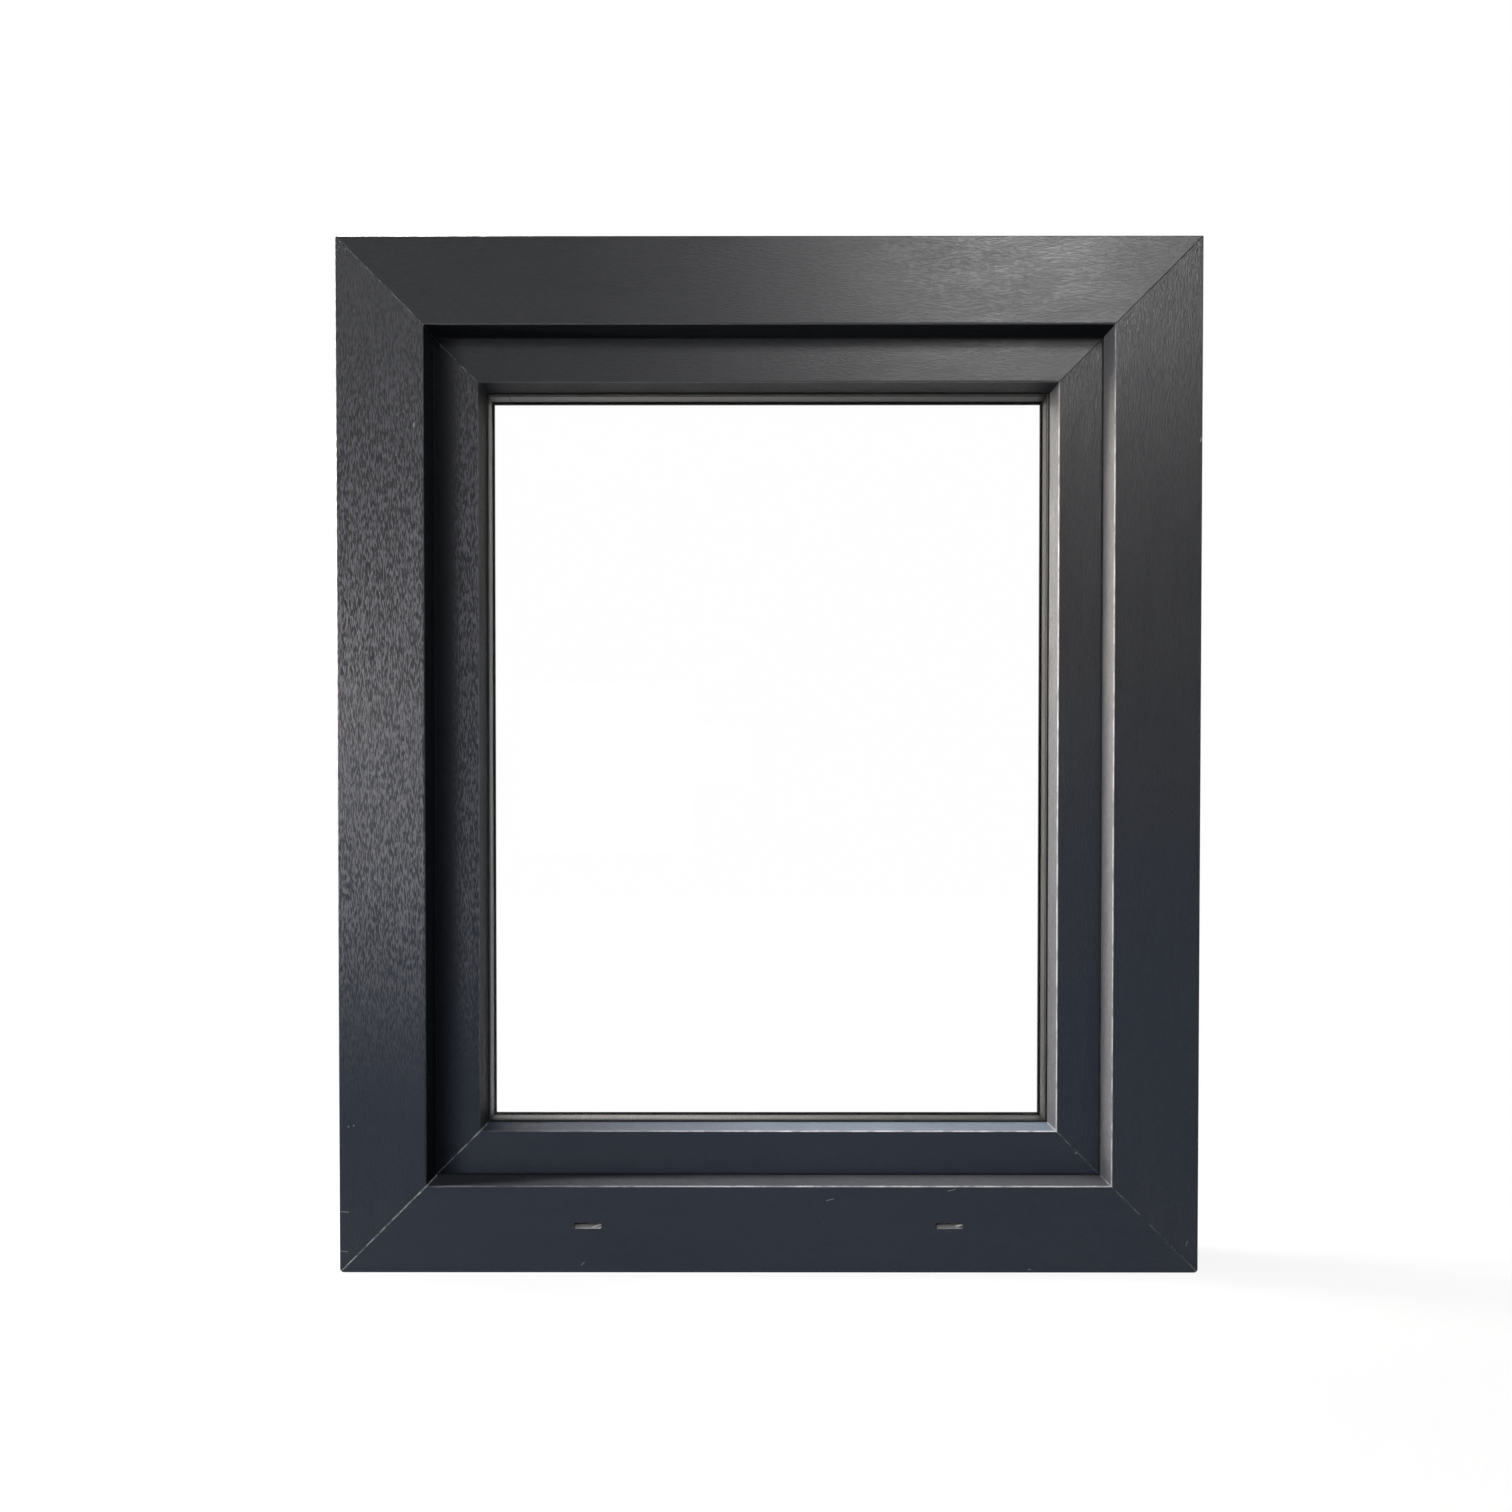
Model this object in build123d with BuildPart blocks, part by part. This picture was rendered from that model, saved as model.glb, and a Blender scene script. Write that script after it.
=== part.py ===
from build123d import *

import os

# Overall window, seen from outside
WIDTH = 700.0
HEIGHT = 840.0
FRAME_DEPTH = 70.0

# Plastic walls of the hollow profiles
WALL = 3.0
WEB = 1.5
EDGE_RADIUS = 1.5
OUTER_EDGE_RADIUS = 1.0
SOFT_RADIUS = 3.0

# Welded corners: the groove left along each mitre and the dressed outer corners
WELD_GROOVE = 0.8
LOWER_CORNER_RADIUS = 4.0
UPPER_CORNER_RADIUS = 1.5

# Frame profile: heights run inward from the outer edge, depths run back from the outside face
FRAME_FACE = 70.5
FRAME_SLOPE = 5.5
FLANGE_DEPTH = 19.0
FRAME_REBATE = 52.0
FRONT_CHAMBER_BACK = 24.0
SCREW_CHAMBER = 7.5
ROOM_CHAMBER = 6.0

# Fixing grooves round the outer edge of the frame
CLIP_GROOVE_WIDTH = 8.0
CLIP_GROOVE_DEPTH = 3.5
CLIP_GROOVE_INSET = 9.0

# Sash profile
GASKET_GAP = 3.0
SASH_DEPTH = 70.0
HARDWARE_GAP = 12.0
SASH_FACE = 47.0
SASH_SLOPE = 5.0
SASH_FLANGE = 16.0
GLAZING_REBATE = 32.0
SASH_OVERLAP = 8.0

# Hardware groove in the rebate edge of the sash
GROOVE_AXIS = 13.0
GROOVE_SEAT_WIDTH = 20.0
GROOVE_SEAT_DEPTH = 2.7
GROOVE_SLOT_WIDTH = 12.0
GROOVE_SLOT_DEPTH = 9.7

# Steel reinforcement
STEEL_WALL = 1.5
STEEL_CLEARANCE = 0.5
STEEL_END_GAP = 20.0

# Drain slots in the sill
DRAIN_LENGTH = 23.0
DRAIN_WIDTH = 5.0
DRAIN_HEIGHT = 38.5
DRAIN_SPREAD = 295.0
REBATE_DRAIN_WIDTH = 3.6
REBATE_DRAIN_SPREAD = 420.0
SASH_DRAIN_SPREAD = 360.0

# Glass unit
PANE = 4.0
CAVITY = 16.0
GLASS_EDGE_GAP = 5.0
GLASS_CHAMFER = 0.6
SEAL_HEIGHT = 9.0
SPACER_HEIGHT = 7.0
SPACER_WALL = 0.8
BLOCK_LENGTH = 100.0
BLOCK_INSET = 60.0
BLOCK_MARGIN = 1.0

# Gaskets
STOP_GASKET = 6.5
LEG_GASKET = 6.5
GLASS_GASKET = 6.5
OUTER_GASKET_PROUD = 1.2
INNER_GASKET_PROUD = 2.4

# Glazing beads
BEAD_NOSE = 5.0
BEAD_FOOT = 5.0
BEAD_CLIP_WIDTH = 4.0
BEAD_CLIP_DEPTH = 1.2
BEAD_CLIP_INSET = 5.0

# Handle on the room side
HANDLE_BACKSET = 13.0
ROSETTE_WIDTH = 30.0
ROSETTE_LENGTH = 68.0
ROSETTE_THICKNESS = 11.0
ROSETTE_DRAFT = 6.0
ROSETTE_CHAMFER = 1.2
NECK_DIAMETER = 19.0
NECK_LENGTH = 30.0
NECK_DRAFT = 3.0
LEVER_TOP_RADIUS = 13.0
LEVER_TIP_RADIUS = 9.0
LEVER_LENGTH = 112.0
LEVER_THICKNESS = 11.0
LEVER_CHAMFER = 3.0
LEVER_BEVEL = 0.8
SPINDLE = 7.0
SPINDLE_IN_LEVER = 26.0
SPINDLE_HOLE = 12.0
SPINDLE_CLEARANCE = 0.2

# Lock that runs round the sash in its hardware groove
LOCK_PLATE = 2.4
LOCK_PLATE_CLEARANCE = 0.1
LOCK_ROD_WIDTH = 10.0
LOCK_ROD_DEPTH = 5.0
CAM_DIAMETER = 10.0
CAM_LENGTH = 9.6
CAM_HEAD_DIAMETER = 14.0
CAM_HEAD = 2.0
CAM_SIDES = 8
CAM_INSET = 110.0
STRIKER_LENGTH = 50.0
STRIKER_WIDTH = 20.0
STRIKER_HEIGHT = 8.0
STRIKER_CLEARANCE = 0.8
GEARBOX_LENGTH = 110.0
GEARBOX_WIDTH = 14.5
GEARBOX_DEPTH = 18.5
GEARBOX_CLEARANCE = 0.6

# Hinges on the room side
BARREL_DIAMETER = 15.0
BARREL_LENGTH = 26.0
BARREL_GAP = 0.4
BARREL_CLEARANCE = 0.5
PIN_DIAMETER = 8.0
PIN_CLEARANCE = 0.15
PIN_HEAD = 3.0
HINGE_INSET = 54.0
BRACKET_PLATE = 4.0
BRACKET_REACH = 26.0
BRACKET_LENGTH = 58.0
ARM_PLATE = 3.0
ARM_REACH = 26.0
ARM_LENGTH = 50.0

# Levels worked out from the sizes above
FRAME_TIP = FRAME_FACE + FRAME_SLOPE
SASH_FRONT = FLANGE_DEPTH + GASKET_GAP
SASH_BACK = SASH_FRONT + SASH_DEPTH
SASH_EDGE = FRAME_REBATE + HARDWARE_GAP
SASH_CORNER = SASH_EDGE + SASH_FACE
SASH_TIP = SASH_CORNER + SASH_SLOPE
SASH_LEG = FRAME_REBATE - SASH_OVERLAP
LEG_FRONT = FRAME_DEPTH + GASKET_GAP
GLAZING_FRONT = SASH_FRONT + SASH_FLANGE
GLAZING_FLOOR = SASH_EDGE + GLAZING_REBATE
GLASS_FRONT = GLAZING_FRONT + GASKET_GAP
CAVITY_FRONT = GLASS_FRONT + PANE
CAVITY_BACK = CAVITY_FRONT + CAVITY
GLASS_BACK = CAVITY_BACK + PANE
BEAD_FRONT = GLASS_BACK + GASKET_GAP
GLASS_EDGE = GLAZING_FLOOR + GLASS_EDGE_GAP
SPACER_EDGE = GLASS_EDGE + SEAL_HEIGHT
GROOVE_DEPTH_LEVEL = LEG_FRONT - GROOVE_AXIS
GROOVE_CASE = SASH_EDGE + GROOVE_SLOT_DEPTH + WEB
GROOVE_SEAT = SASH_EDGE + GROOVE_SEAT_DEPTH
ROD_BACK = GROOVE_SEAT + LOCK_ROD_DEPTH
CAM_TIP = GROOVE_SEAT - LOCK_PLATE - CAM_LENGTH
HANDLE_X = -WIDTH / 2 + SASH_EDGE + HANDLE_BACKSET
HANDLE_Z = HEIGHT / 2
HINGE_X = WIDTH / 2 - SASH_LEG + BARREL_CLEARANCE + BARREL_DIAMETER / 2
HINGE_DEPTH = SASH_BACK

SIDES = ("bottom", "top", "left", "right")


def depth(level: float) -> float:
    """Place across the window of a level measured back from the outside face."""
    return level - FRAME_DEPTH / 2


def side_plane(side: str) -> Plane:
    """Section plane of one side: x runs inward, y runs towards the room, z along the member."""
    if side == "bottom":
        return Plane(origin=(0, 0, 0), x_dir=(0, 0, 1), z_dir=(-1, 0, 0))
    if side == "top":
        return Plane(origin=(0, 0, HEIGHT), x_dir=(0, 0, -1), z_dir=(1, 0, 0))
    if side == "left":
        return Plane(origin=(-WIDTH / 2, 0, HEIGHT / 2), x_dir=(1, 0, 0), z_dir=(0, 0, 1))
    return Plane(origin=(WIDTH / 2, 0, HEIGHT / 2), x_dir=(-1, 0, 0), z_dir=(0, 0, -1))


def side_length(side: str) -> float:
    """Length of one side along the outer edge of the frame."""
    if side in ("bottom", "top"):
        return WIDTH
    return HEIGHT


def mitred_member(side: str, section: Sketch) -> BuildPart:
    """Profile bar along one side, cut at 45 degrees at both ends."""
    plane = side_plane(side)
    half = side_length(side) / 2
    with BuildPart() as member:
        with BuildSketch(plane):
            add(section)
        extrude(amount=half, both=True)
        for end in (1, -1):
            corner = plane.from_local_coords(Vector(0, 0, end * half))
            mitre = Plane(origin=corner, z_dir=plane.x_dir + plane.z_dir * end)
            split(bisect_by=mitre, keep=Keep.BOTTOM)
    return member


def mitred_ring(section: Sketch) -> BuildPart:
    """Profile that runs round all four sides in one piece."""
    bars = [mitred_member(side, section).part for side in SIDES]
    with BuildPart() as ring:
        add(bars)
    return ring


def chamber(inner: float, outer: float, front: float, back: float, mode: Mode = Mode.SUBTRACT) -> None:
    """Rectangle between two heights and two levels of the section being drawn."""
    with Locations(((inner + outer) / 2, depth((front + back) / 2))):
        Rectangle(outer - inner, back - front, mode=mode)


def corner_at(section: BuildSketch, height: float, level: float) -> Vertex:
    """Corner of the section that lies nearest to a height and a level."""
    return section.vertices().sort_by_distance((height, depth(level), 0))[0]


def frame_section() -> Sketch:
    """Hollow profile of the outer frame."""
    grooves = (CLIP_GROOVE_INSET, FRAME_DEPTH - CLIP_GROOVE_INSET - CLIP_GROOVE_WIDTH)
    steel_front = FRONT_CHAMBER_BACK + WEB
    steel_back = FRAME_DEPTH - WALL - ROOM_CHAMBER - WEB
    steel_top = FRAME_REBATE - WALL - SCREW_CHAMBER - WEB
    with BuildSketch() as section:
        with BuildLine():
            Polyline(
                (0, depth(0)),
                (FRAME_FACE, depth(0)),
                (FRAME_TIP, depth(FLANGE_DEPTH)),
                (FRAME_REBATE, depth(FLANGE_DEPTH)),
                (FRAME_REBATE, depth(FRAME_DEPTH)),
                (0, depth(FRAME_DEPTH)),
                close=True,
            )
        make_face()
        fillet(corner_at(section, 0, 0), OUTER_EDGE_RADIUS)
        fillet(corner_at(section, 0, FRAME_DEPTH), OUTER_EDGE_RADIUS)
        fillet(corner_at(section, FRAME_FACE, 0), EDGE_RADIUS)
        fillet(corner_at(section, FRAME_TIP, FLANGE_DEPTH), EDGE_RADIUS / 2)
        with BuildLine():
            Polyline(
                (WALL, depth(WALL)),
                (FRAME_FACE - WALL, depth(WALL)),
                (FRAME_TIP - WALL, depth(FLANGE_DEPTH - WALL)),
                (FRAME_REBATE - WALL, depth(FLANGE_DEPTH - WALL)),
                (FRAME_REBATE - WALL, depth(FRONT_CHAMBER_BACK)),
                (WALL, depth(FRONT_CHAMBER_BACK)),
                close=True,
            )
        make_face(mode=Mode.SUBTRACT)
        chamber(WALL, steel_top, steel_front, steel_back)
        chamber(WALL, steel_top, steel_back + WEB, FRAME_DEPTH - WALL)
        chamber(steel_top + WEB, FRAME_REBATE - WALL, steel_front, FRAME_DEPTH - WALL)
        for level in grooves:
            end = level + CLIP_GROOVE_WIDTH
            chamber(0, CLIP_GROOVE_DEPTH + WEB, level - WEB, end + WEB, Mode.ADD)
        for level in grooves:
            chamber(0, CLIP_GROOVE_DEPTH, level, level + CLIP_GROOVE_WIDTH)
    return section.sketch


def sash_section() -> Sketch:
    """Hollow profile of the sash with its overlap leg, glazing rebate and hardware groove."""
    seat = GROOVE_SEAT_WIDTH / 2
    slot = GROOVE_SLOT_WIDTH / 2
    slot_floor = SASH_EDGE + GROOVE_SLOT_DEPTH
    steel_bottom = GROOVE_CASE + WEB
    steel_top = GLAZING_FLOOR - WALL
    steel_front = GLAZING_FRONT + WEB
    steel_back = LEG_FRONT
    front_back = GLAZING_FRONT - WALL
    with BuildSketch() as section:
        with BuildLine():
            Polyline(
                (SASH_EDGE, depth(SASH_FRONT)),
                (SASH_CORNER, depth(SASH_FRONT)),
                (SASH_TIP, depth(GLAZING_FRONT)),
                (GLAZING_FLOOR, depth(GLAZING_FRONT)),
                (GLAZING_FLOOR, depth(SASH_BACK)),
                (SASH_LEG, depth(SASH_BACK)),
                (SASH_LEG, depth(LEG_FRONT)),
                (SASH_EDGE, depth(LEG_FRONT)),
                close=True,
            )
        make_face()
        fillet(corner_at(section, SASH_CORNER, SASH_FRONT), EDGE_RADIUS)
        fillet(corner_at(section, SASH_TIP, GLAZING_FRONT), EDGE_RADIUS / 2)
        fillet(corner_at(section, SASH_LEG, SASH_BACK), SOFT_RADIUS)
        with BuildLine():
            Polyline(
                (SASH_EDGE + WALL, depth(SASH_FRONT + WALL)),
                (SASH_CORNER - WALL, depth(SASH_FRONT + WALL)),
                (SASH_TIP - WALL, depth(front_back)),
                (SASH_EDGE + WALL, depth(front_back)),
                close=True,
            )
        make_face(mode=Mode.SUBTRACT)
        chamber(steel_bottom, steel_top, steel_front, steel_back)
        chamber(
            SASH_EDGE + WALL,
            steel_bottom - WEB,
            front_back + WEB,
            GROOVE_DEPTH_LEVEL - seat - WALL,
        )
        chamber(SASH_LEG + WALL, steel_bottom - WEB, LEG_FRONT + WALL, SASH_BACK - WALL)
        chamber(steel_bottom, steel_top, steel_back + WEB, SASH_BACK - WALL)
        chamber(
            SASH_EDGE,
            SASH_EDGE + GROOVE_SEAT_DEPTH,
            GROOVE_DEPTH_LEVEL - seat,
            GROOVE_DEPTH_LEVEL + seat,
        )
        chamber(SASH_EDGE, slot_floor, GROOVE_DEPTH_LEVEL - slot, GROOVE_DEPTH_LEVEL + slot)
        clip_back = SASH_BACK - BEAD_CLIP_INSET
        chamber(
            GLAZING_FLOOR - BEAD_CLIP_DEPTH,
            GLAZING_FLOOR,
            clip_back - BEAD_CLIP_WIDTH,
            clip_back,
        )
    return section.sketch


def bead_section() -> Sketch:
    """Hollow glazing bead, clipped into the rebate and sloped down to the sash face."""
    clip_back = SASH_BACK - BEAD_CLIP_INSET
    with BuildSketch() as section:
        with BuildLine():
            Polyline(
                (GLAZING_FLOOR, depth(BEAD_FRONT)),
                (SASH_TIP, depth(BEAD_FRONT)),
                (SASH_TIP, depth(BEAD_FRONT + BEAD_NOSE)),
                (GLAZING_FLOOR + BEAD_FOOT, depth(SASH_BACK)),
                (GLAZING_FLOOR, depth(SASH_BACK)),
                close=True,
            )
        make_face()
        fillet(corner_at(section, SASH_TIP, BEAD_FRONT + BEAD_NOSE), SOFT_RADIUS)
        fillet(corner_at(section, GLAZING_FLOOR + BEAD_FOOT, SASH_BACK), SOFT_RADIUS)
        with BuildLine():
            Polyline(
                (GLAZING_FLOOR + WEB, depth(BEAD_FRONT + WEB)),
                (SASH_TIP - WALL, depth(BEAD_FRONT + WEB)),
                (GLAZING_FLOOR + WEB, depth(SASH_BACK - WALL - WEB)),
                close=True,
            )
        make_face(mode=Mode.SUBTRACT)
        chamber(
            GLAZING_FLOOR - BEAD_CLIP_DEPTH,
            GLAZING_FLOOR,
            clip_back - BEAD_CLIP_WIDTH,
            clip_back,
            Mode.ADD,
        )
    return section.sketch


def strip_section(inner: float, outer: float, front: float, back: float) -> Sketch:
    """Plain rectangular strip between two heights and two levels."""
    with BuildSketch() as section:
        chamber(inner, outer, front, back, Mode.ADD)
    return section.sketch


def steel_section(inner: float, outer: float, front: float, back: float) -> Sketch:
    """Thin box of folded steel that fills a chamber with a small clearance."""
    gap = STEEL_CLEARANCE
    with BuildSketch() as section:
        chamber(inner + gap, outer - gap, front + gap, back - gap, Mode.ADD)
        chamber(
            inner + gap + STEEL_WALL,
            outer - gap - STEEL_WALL,
            front + gap + STEEL_WALL,
            back - gap - STEEL_WALL,
        )
    return section.sketch


def steel_bars(section: Sketch) -> BuildPart:
    """Four square-cut steel bars, one inside each side, stopped short of the mitres."""
    reach = section.bounding_box().max.X + STEEL_END_GAP
    with BuildPart() as bars:
        for side in SIDES:
            with BuildSketch(side_plane(side)):
                add(section)
            extrude(amount=side_length(side) / 2 - reach, both=True)
    return bars


def pane(front: float) -> BuildPart:
    """One sheet of glass whose outside face lies at the given level."""
    face = Plane(origin=(0, depth(front), HEIGHT / 2), x_dir=(1, 0, 0), z_dir=(0, 1, 0))
    with BuildPart() as sheet:
        with BuildSketch(face):
            Rectangle(WIDTH - 2 * GLASS_EDGE, HEIGHT - 2 * GLASS_EDGE)
        extrude(amount=PANE)
        chamfer(sheet.edges(), GLASS_CHAMFER)
    return sheet


def spacer_section() -> Sketch:
    """Hollow metal spacer bar between the two panes."""
    inner = SPACER_EDGE + SPACER_HEIGHT
    with BuildSketch() as section:
        chamber(SPACER_EDGE, inner, CAVITY_FRONT, CAVITY_BACK, Mode.ADD)
        chamber(
            SPACER_EDGE + SPACER_WALL,
            inner - SPACER_WALL,
            CAVITY_FRONT + SPACER_WALL,
            CAVITY_BACK - SPACER_WALL,
        )
    return section.sketch


def setting_block_set() -> BuildPart:
    """Glazing blocks between the sash and the glass unit, two on each side."""
    middle = (GLASS_FRONT + GLASS_BACK) / 2
    width = GLASS_BACK - GLASS_FRONT - 2 * BLOCK_MARGIN
    with BuildPart() as blocks:
        for side in SIDES:
            plane = side_plane(side)
            offset = side_length(side) / 2 - GLASS_EDGE - BLOCK_INSET - BLOCK_LENGTH / 2
            for end in (1, -1):
                with BuildSketch(plane.offset(end * offset)):
                    with Locations(((GLAZING_FLOOR + GLASS_EDGE) / 2, depth(middle))):
                        Rectangle(GLASS_EDGE_GAP, width)
                extrude(amount=BLOCK_LENGTH / 2, both=True)
    return blocks


def front_plane(x: float, z: float, level: float) -> Plane:
    """Plane that faces the room at a place on the window, with its x to the right from outside."""
    return Plane(origin=(x, depth(level), z), x_dir=(1, 0, 0), z_dir=(0, 1, 0))


def spindle_way() -> Sketch:
    """Square opening that the spindle passes through with a small clearance."""
    side = SPINDLE + 2 * SPINDLE_CLEARANCE
    with BuildSketch() as opening:
        Rectangle(side, side)
    return opening.sketch


def rosette() -> BuildPart:
    """Cover of the handle: drafted sides, chamfered rim and a square way for the spindle."""
    with BuildPart() as cover:
        with BuildSketch(front_plane(HANDLE_X, HANDLE_Z, SASH_BACK)):
            RectangleRounded(ROSETTE_WIDTH, ROSETTE_LENGTH, ROSETTE_WIDTH / 2 - EDGE_RADIUS)
        extrude(amount=ROSETTE_THICKNESS, taper=ROSETTE_DRAFT)
        chamfer(cover.faces().sort_by(Axis.Y)[-1].edges(), ROSETTE_CHAMFER)
        with BuildSketch(front_plane(HANDLE_X, HANDLE_Z, SASH_BACK)):
            add(spindle_way())
        extrude(amount=ROSETTE_THICKNESS, mode=Mode.SUBTRACT)
    return cover


def lever() -> BuildPart:
    """Lever of the handle, turned down: a round neck and a long tapered grip."""
    neck_front = SASH_BACK + ROSETTE_THICKNESS
    grip_front = neck_front + NECK_LENGTH
    with BuildPart() as handle:
        with BuildSketch(front_plane(HANDLE_X, HANDLE_Z, grip_front)):
            Circle(LEVER_TOP_RADIUS)
            with Locations((0, LEVER_LENGTH)):
                Circle(LEVER_TIP_RADIUS)
            make_hull()
        extrude(amount=LEVER_THICKNESS)
        chamfer(handle.faces().sort_by(Axis.Y)[-1].edges(), LEVER_CHAMFER)
        chamfer(handle.faces().sort_by(Axis.Y)[0].edges(), LEVER_BEVEL)
        with BuildSketch(front_plane(HANDLE_X, HANDLE_Z, neck_front)):
            Circle(NECK_DIAMETER / 2)
        extrude(amount=NECK_LENGTH + LEVER_THICKNESS / 2, taper=NECK_DRAFT)
        with BuildSketch(front_plane(HANDLE_X, HANDLE_Z, neck_front)):
            add(spindle_way())
        extrude(amount=SPINDLE_IN_LEVER, mode=Mode.SUBTRACT)
    return handle


def spindle() -> BuildPart:
    """Square bar from the lever through the rosette to the far side of the gearbox."""
    inner_end = GROOVE_DEPTH_LEVEL - GEARBOX_WIDTH / 2
    outer_end = SASH_BACK + ROSETTE_THICKNESS + SPINDLE_IN_LEVER
    with BuildPart() as bar:
        with BuildSketch(front_plane(HANDLE_X, HANDLE_Z, inner_end)):
            Rectangle(SPINDLE, SPINDLE)
        extrude(amount=outer_end - inner_end)
    return bar


def rail_section() -> Sketch:
    """Face plate of the lock on its seat in the groove, with the sliding rod behind it."""
    seat = GROOVE_SEAT_WIDTH / 2 - LOCK_PLATE_CLEARANCE
    rod = LOCK_ROD_WIDTH / 2
    level = GROOVE_DEPTH_LEVEL
    with BuildSketch() as section:
        chamber(GROOVE_SEAT - LOCK_PLATE, GROOVE_SEAT, level - seat, level + seat, Mode.ADD)
        chamber(GROOVE_SEAT, ROD_BACK, level - rod, level + rod, Mode.ADD)
    return section.sketch


def cam_places(side: str) -> tuple[float, float]:
    """Places of the two cams along one side, measured from its middle."""
    reach = side_length(side) / 2 - SASH_EDGE - CAM_INSET
    return (-reach, reach)


def lock_rail(side: str) -> BuildPart:
    """Rail of the lock along one side, with its eight-sided mushroom cams."""
    plane = side_plane(side)
    level = depth(GROOVE_DEPTH_LEVEL)
    with BuildPart() as rail:
        add(mitred_member(side, rail_section()).part)
        for place in cam_places(side):
            foot = plane.from_local_coords(Vector(GROOVE_SEAT - LOCK_PLATE, level, place))
            tip = plane.from_local_coords(Vector(CAM_TIP, level, place))
            with BuildSketch(Plane(origin=foot, x_dir=plane.y_dir, z_dir=-plane.x_dir)):
                RegularPolygon(CAM_DIAMETER / 2, CAM_SIDES)
            extrude(amount=CAM_LENGTH)
            with BuildSketch(Plane(origin=tip, x_dir=plane.y_dir, z_dir=plane.x_dir)):
                RegularPolygon(CAM_HEAD_DIAMETER / 2, CAM_SIDES)
            extrude(amount=CAM_HEAD)
    return rail


def striker_section() -> Sketch:
    """Striker on the rebate floor of the frame, with an undercut channel for the cams."""
    level = GROOVE_DEPTH_LEVEL
    half = STRIKER_WIDTH / 2
    neck = CAM_DIAMETER / 2 + STRIKER_CLEARANCE
    head = CAM_HEAD_DIAMETER / 2 + STRIKER_CLEARANCE
    top = FRAME_REBATE + STRIKER_HEIGHT
    lip = CAM_TIP + CAM_HEAD + STRIKER_CLEARANCE
    with BuildSketch() as section:
        chamber(FRAME_REBATE, top, level - half, level + half, Mode.ADD)
        chamber(CAM_TIP - STRIKER_CLEARANCE, lip, level - head, level + head)
        chamber(lip, top, level - neck, level + neck)
    return section.sketch


def striker_set() -> BuildPart:
    """Strikers round the frame, one under each cam."""
    with BuildPart() as strikers:
        for side in SIDES:
            for place in cam_places(side):
                with BuildSketch(side_plane(side).offset(place)):
                    add(striker_section())
                extrude(amount=STRIKER_LENGTH / 2, both=True)
    return strikers


def gearbox_block(clearance: float) -> BuildPart:
    """Block of the gearbox behind the rod of the handle stile, grown by a clearance."""
    level = GROOVE_DEPTH_LEVEL
    half = GEARBOX_WIDTH / 2 + clearance
    with BuildPart() as block:
        with BuildSketch(side_plane("left")):
            chamber(ROD_BACK, ROD_BACK + GEARBOX_DEPTH + clearance, level - half, level + half, Mode.ADD)
        extrude(amount=GEARBOX_LENGTH / 2 + clearance, both=True)
    return block


def gearbox() -> BuildPart:
    """Gearbox that turns the spindle's quarter turn into the travel of the rod."""
    with BuildPart() as box:
        add(gearbox_block(0).part)
        with BuildSketch(front_plane(HANDLE_X, HANDLE_Z, SASH_FRONT)):
            add(spindle_way())
        extrude(amount=SASH_DEPTH, mode=Mode.SUBTRACT)
    return box


def barrel_plane(z: float) -> Plane:
    """Level plane on the hinge axis."""
    return Plane(origin=(HINGE_X, depth(HINGE_DEPTH), z))


def hinge_bracket(start: float, way: int) -> BuildPart:
    """Hinge half on the frame: a screwed plate, a web and the outer barrel."""
    plate_middle = start + way * BRACKET_LENGTH / 2
    with BuildPart() as half:
        with BuildSketch(front_plane(HINGE_X, plate_middle, FRAME_DEPTH)):
            with Locations((BRACKET_REACH / 2 - BARREL_DIAMETER / 2, 0)):
                RectangleRounded(BRACKET_REACH, BRACKET_LENGTH, SOFT_RADIUS)
        extrude(amount=BRACKET_PLATE)
        with BuildSketch(barrel_plane(start)):
            Circle(BARREL_DIAMETER / 2)
            with Locations((0, (FRAME_DEPTH - HINGE_DEPTH) / 2)):
                Rectangle(BARREL_DIAMETER, HINGE_DEPTH - FRAME_DEPTH)
        extrude(amount=way * BARREL_LENGTH)
        with BuildSketch(barrel_plane(start)):
            Circle(PIN_DIAMETER / 2 + PIN_CLEARANCE)
        extrude(amount=way * BARREL_LENGTH, mode=Mode.SUBTRACT)
    return half


def hinge_arm(start: float, way: int) -> BuildPart:
    """Hinge half on the sash: a plate on the room face and the inner barrel."""
    foot = start + way * (BARREL_LENGTH + BARREL_GAP)
    plate_middle = foot + way * ARM_LENGTH / 2
    with BuildPart() as half:
        with BuildSketch(front_plane(HINGE_X, plate_middle, SASH_BACK)):
            with Locations((-ARM_REACH / 2, 0)):
                Rectangle(ARM_REACH, ARM_LENGTH)
        extrude(amount=ARM_PLATE)
        with BuildSketch(barrel_plane(foot)):
            Circle(BARREL_DIAMETER / 2)
        extrude(amount=way * BARREL_LENGTH)
        with BuildSketch(barrel_plane(foot)):
            Circle(PIN_DIAMETER / 2 + PIN_CLEARANCE)
        extrude(amount=way * ARM_LENGTH, mode=Mode.SUBTRACT)
    return half


def hinge_pin(start: float, way: int) -> BuildPart:
    """Pin through both barrels, with a flat head on the outer end."""
    with BuildPart() as pin:
        with BuildSketch(barrel_plane(start)):
            Circle(PIN_DIAMETER / 2)
        extrude(amount=way * (2 * BARREL_LENGTH + BARREL_GAP))
        with BuildSketch(barrel_plane(start)):
            Circle(BARREL_DIAMETER / 2)
        extrude(amount=-way * PIN_HEAD)
    return pin


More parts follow.
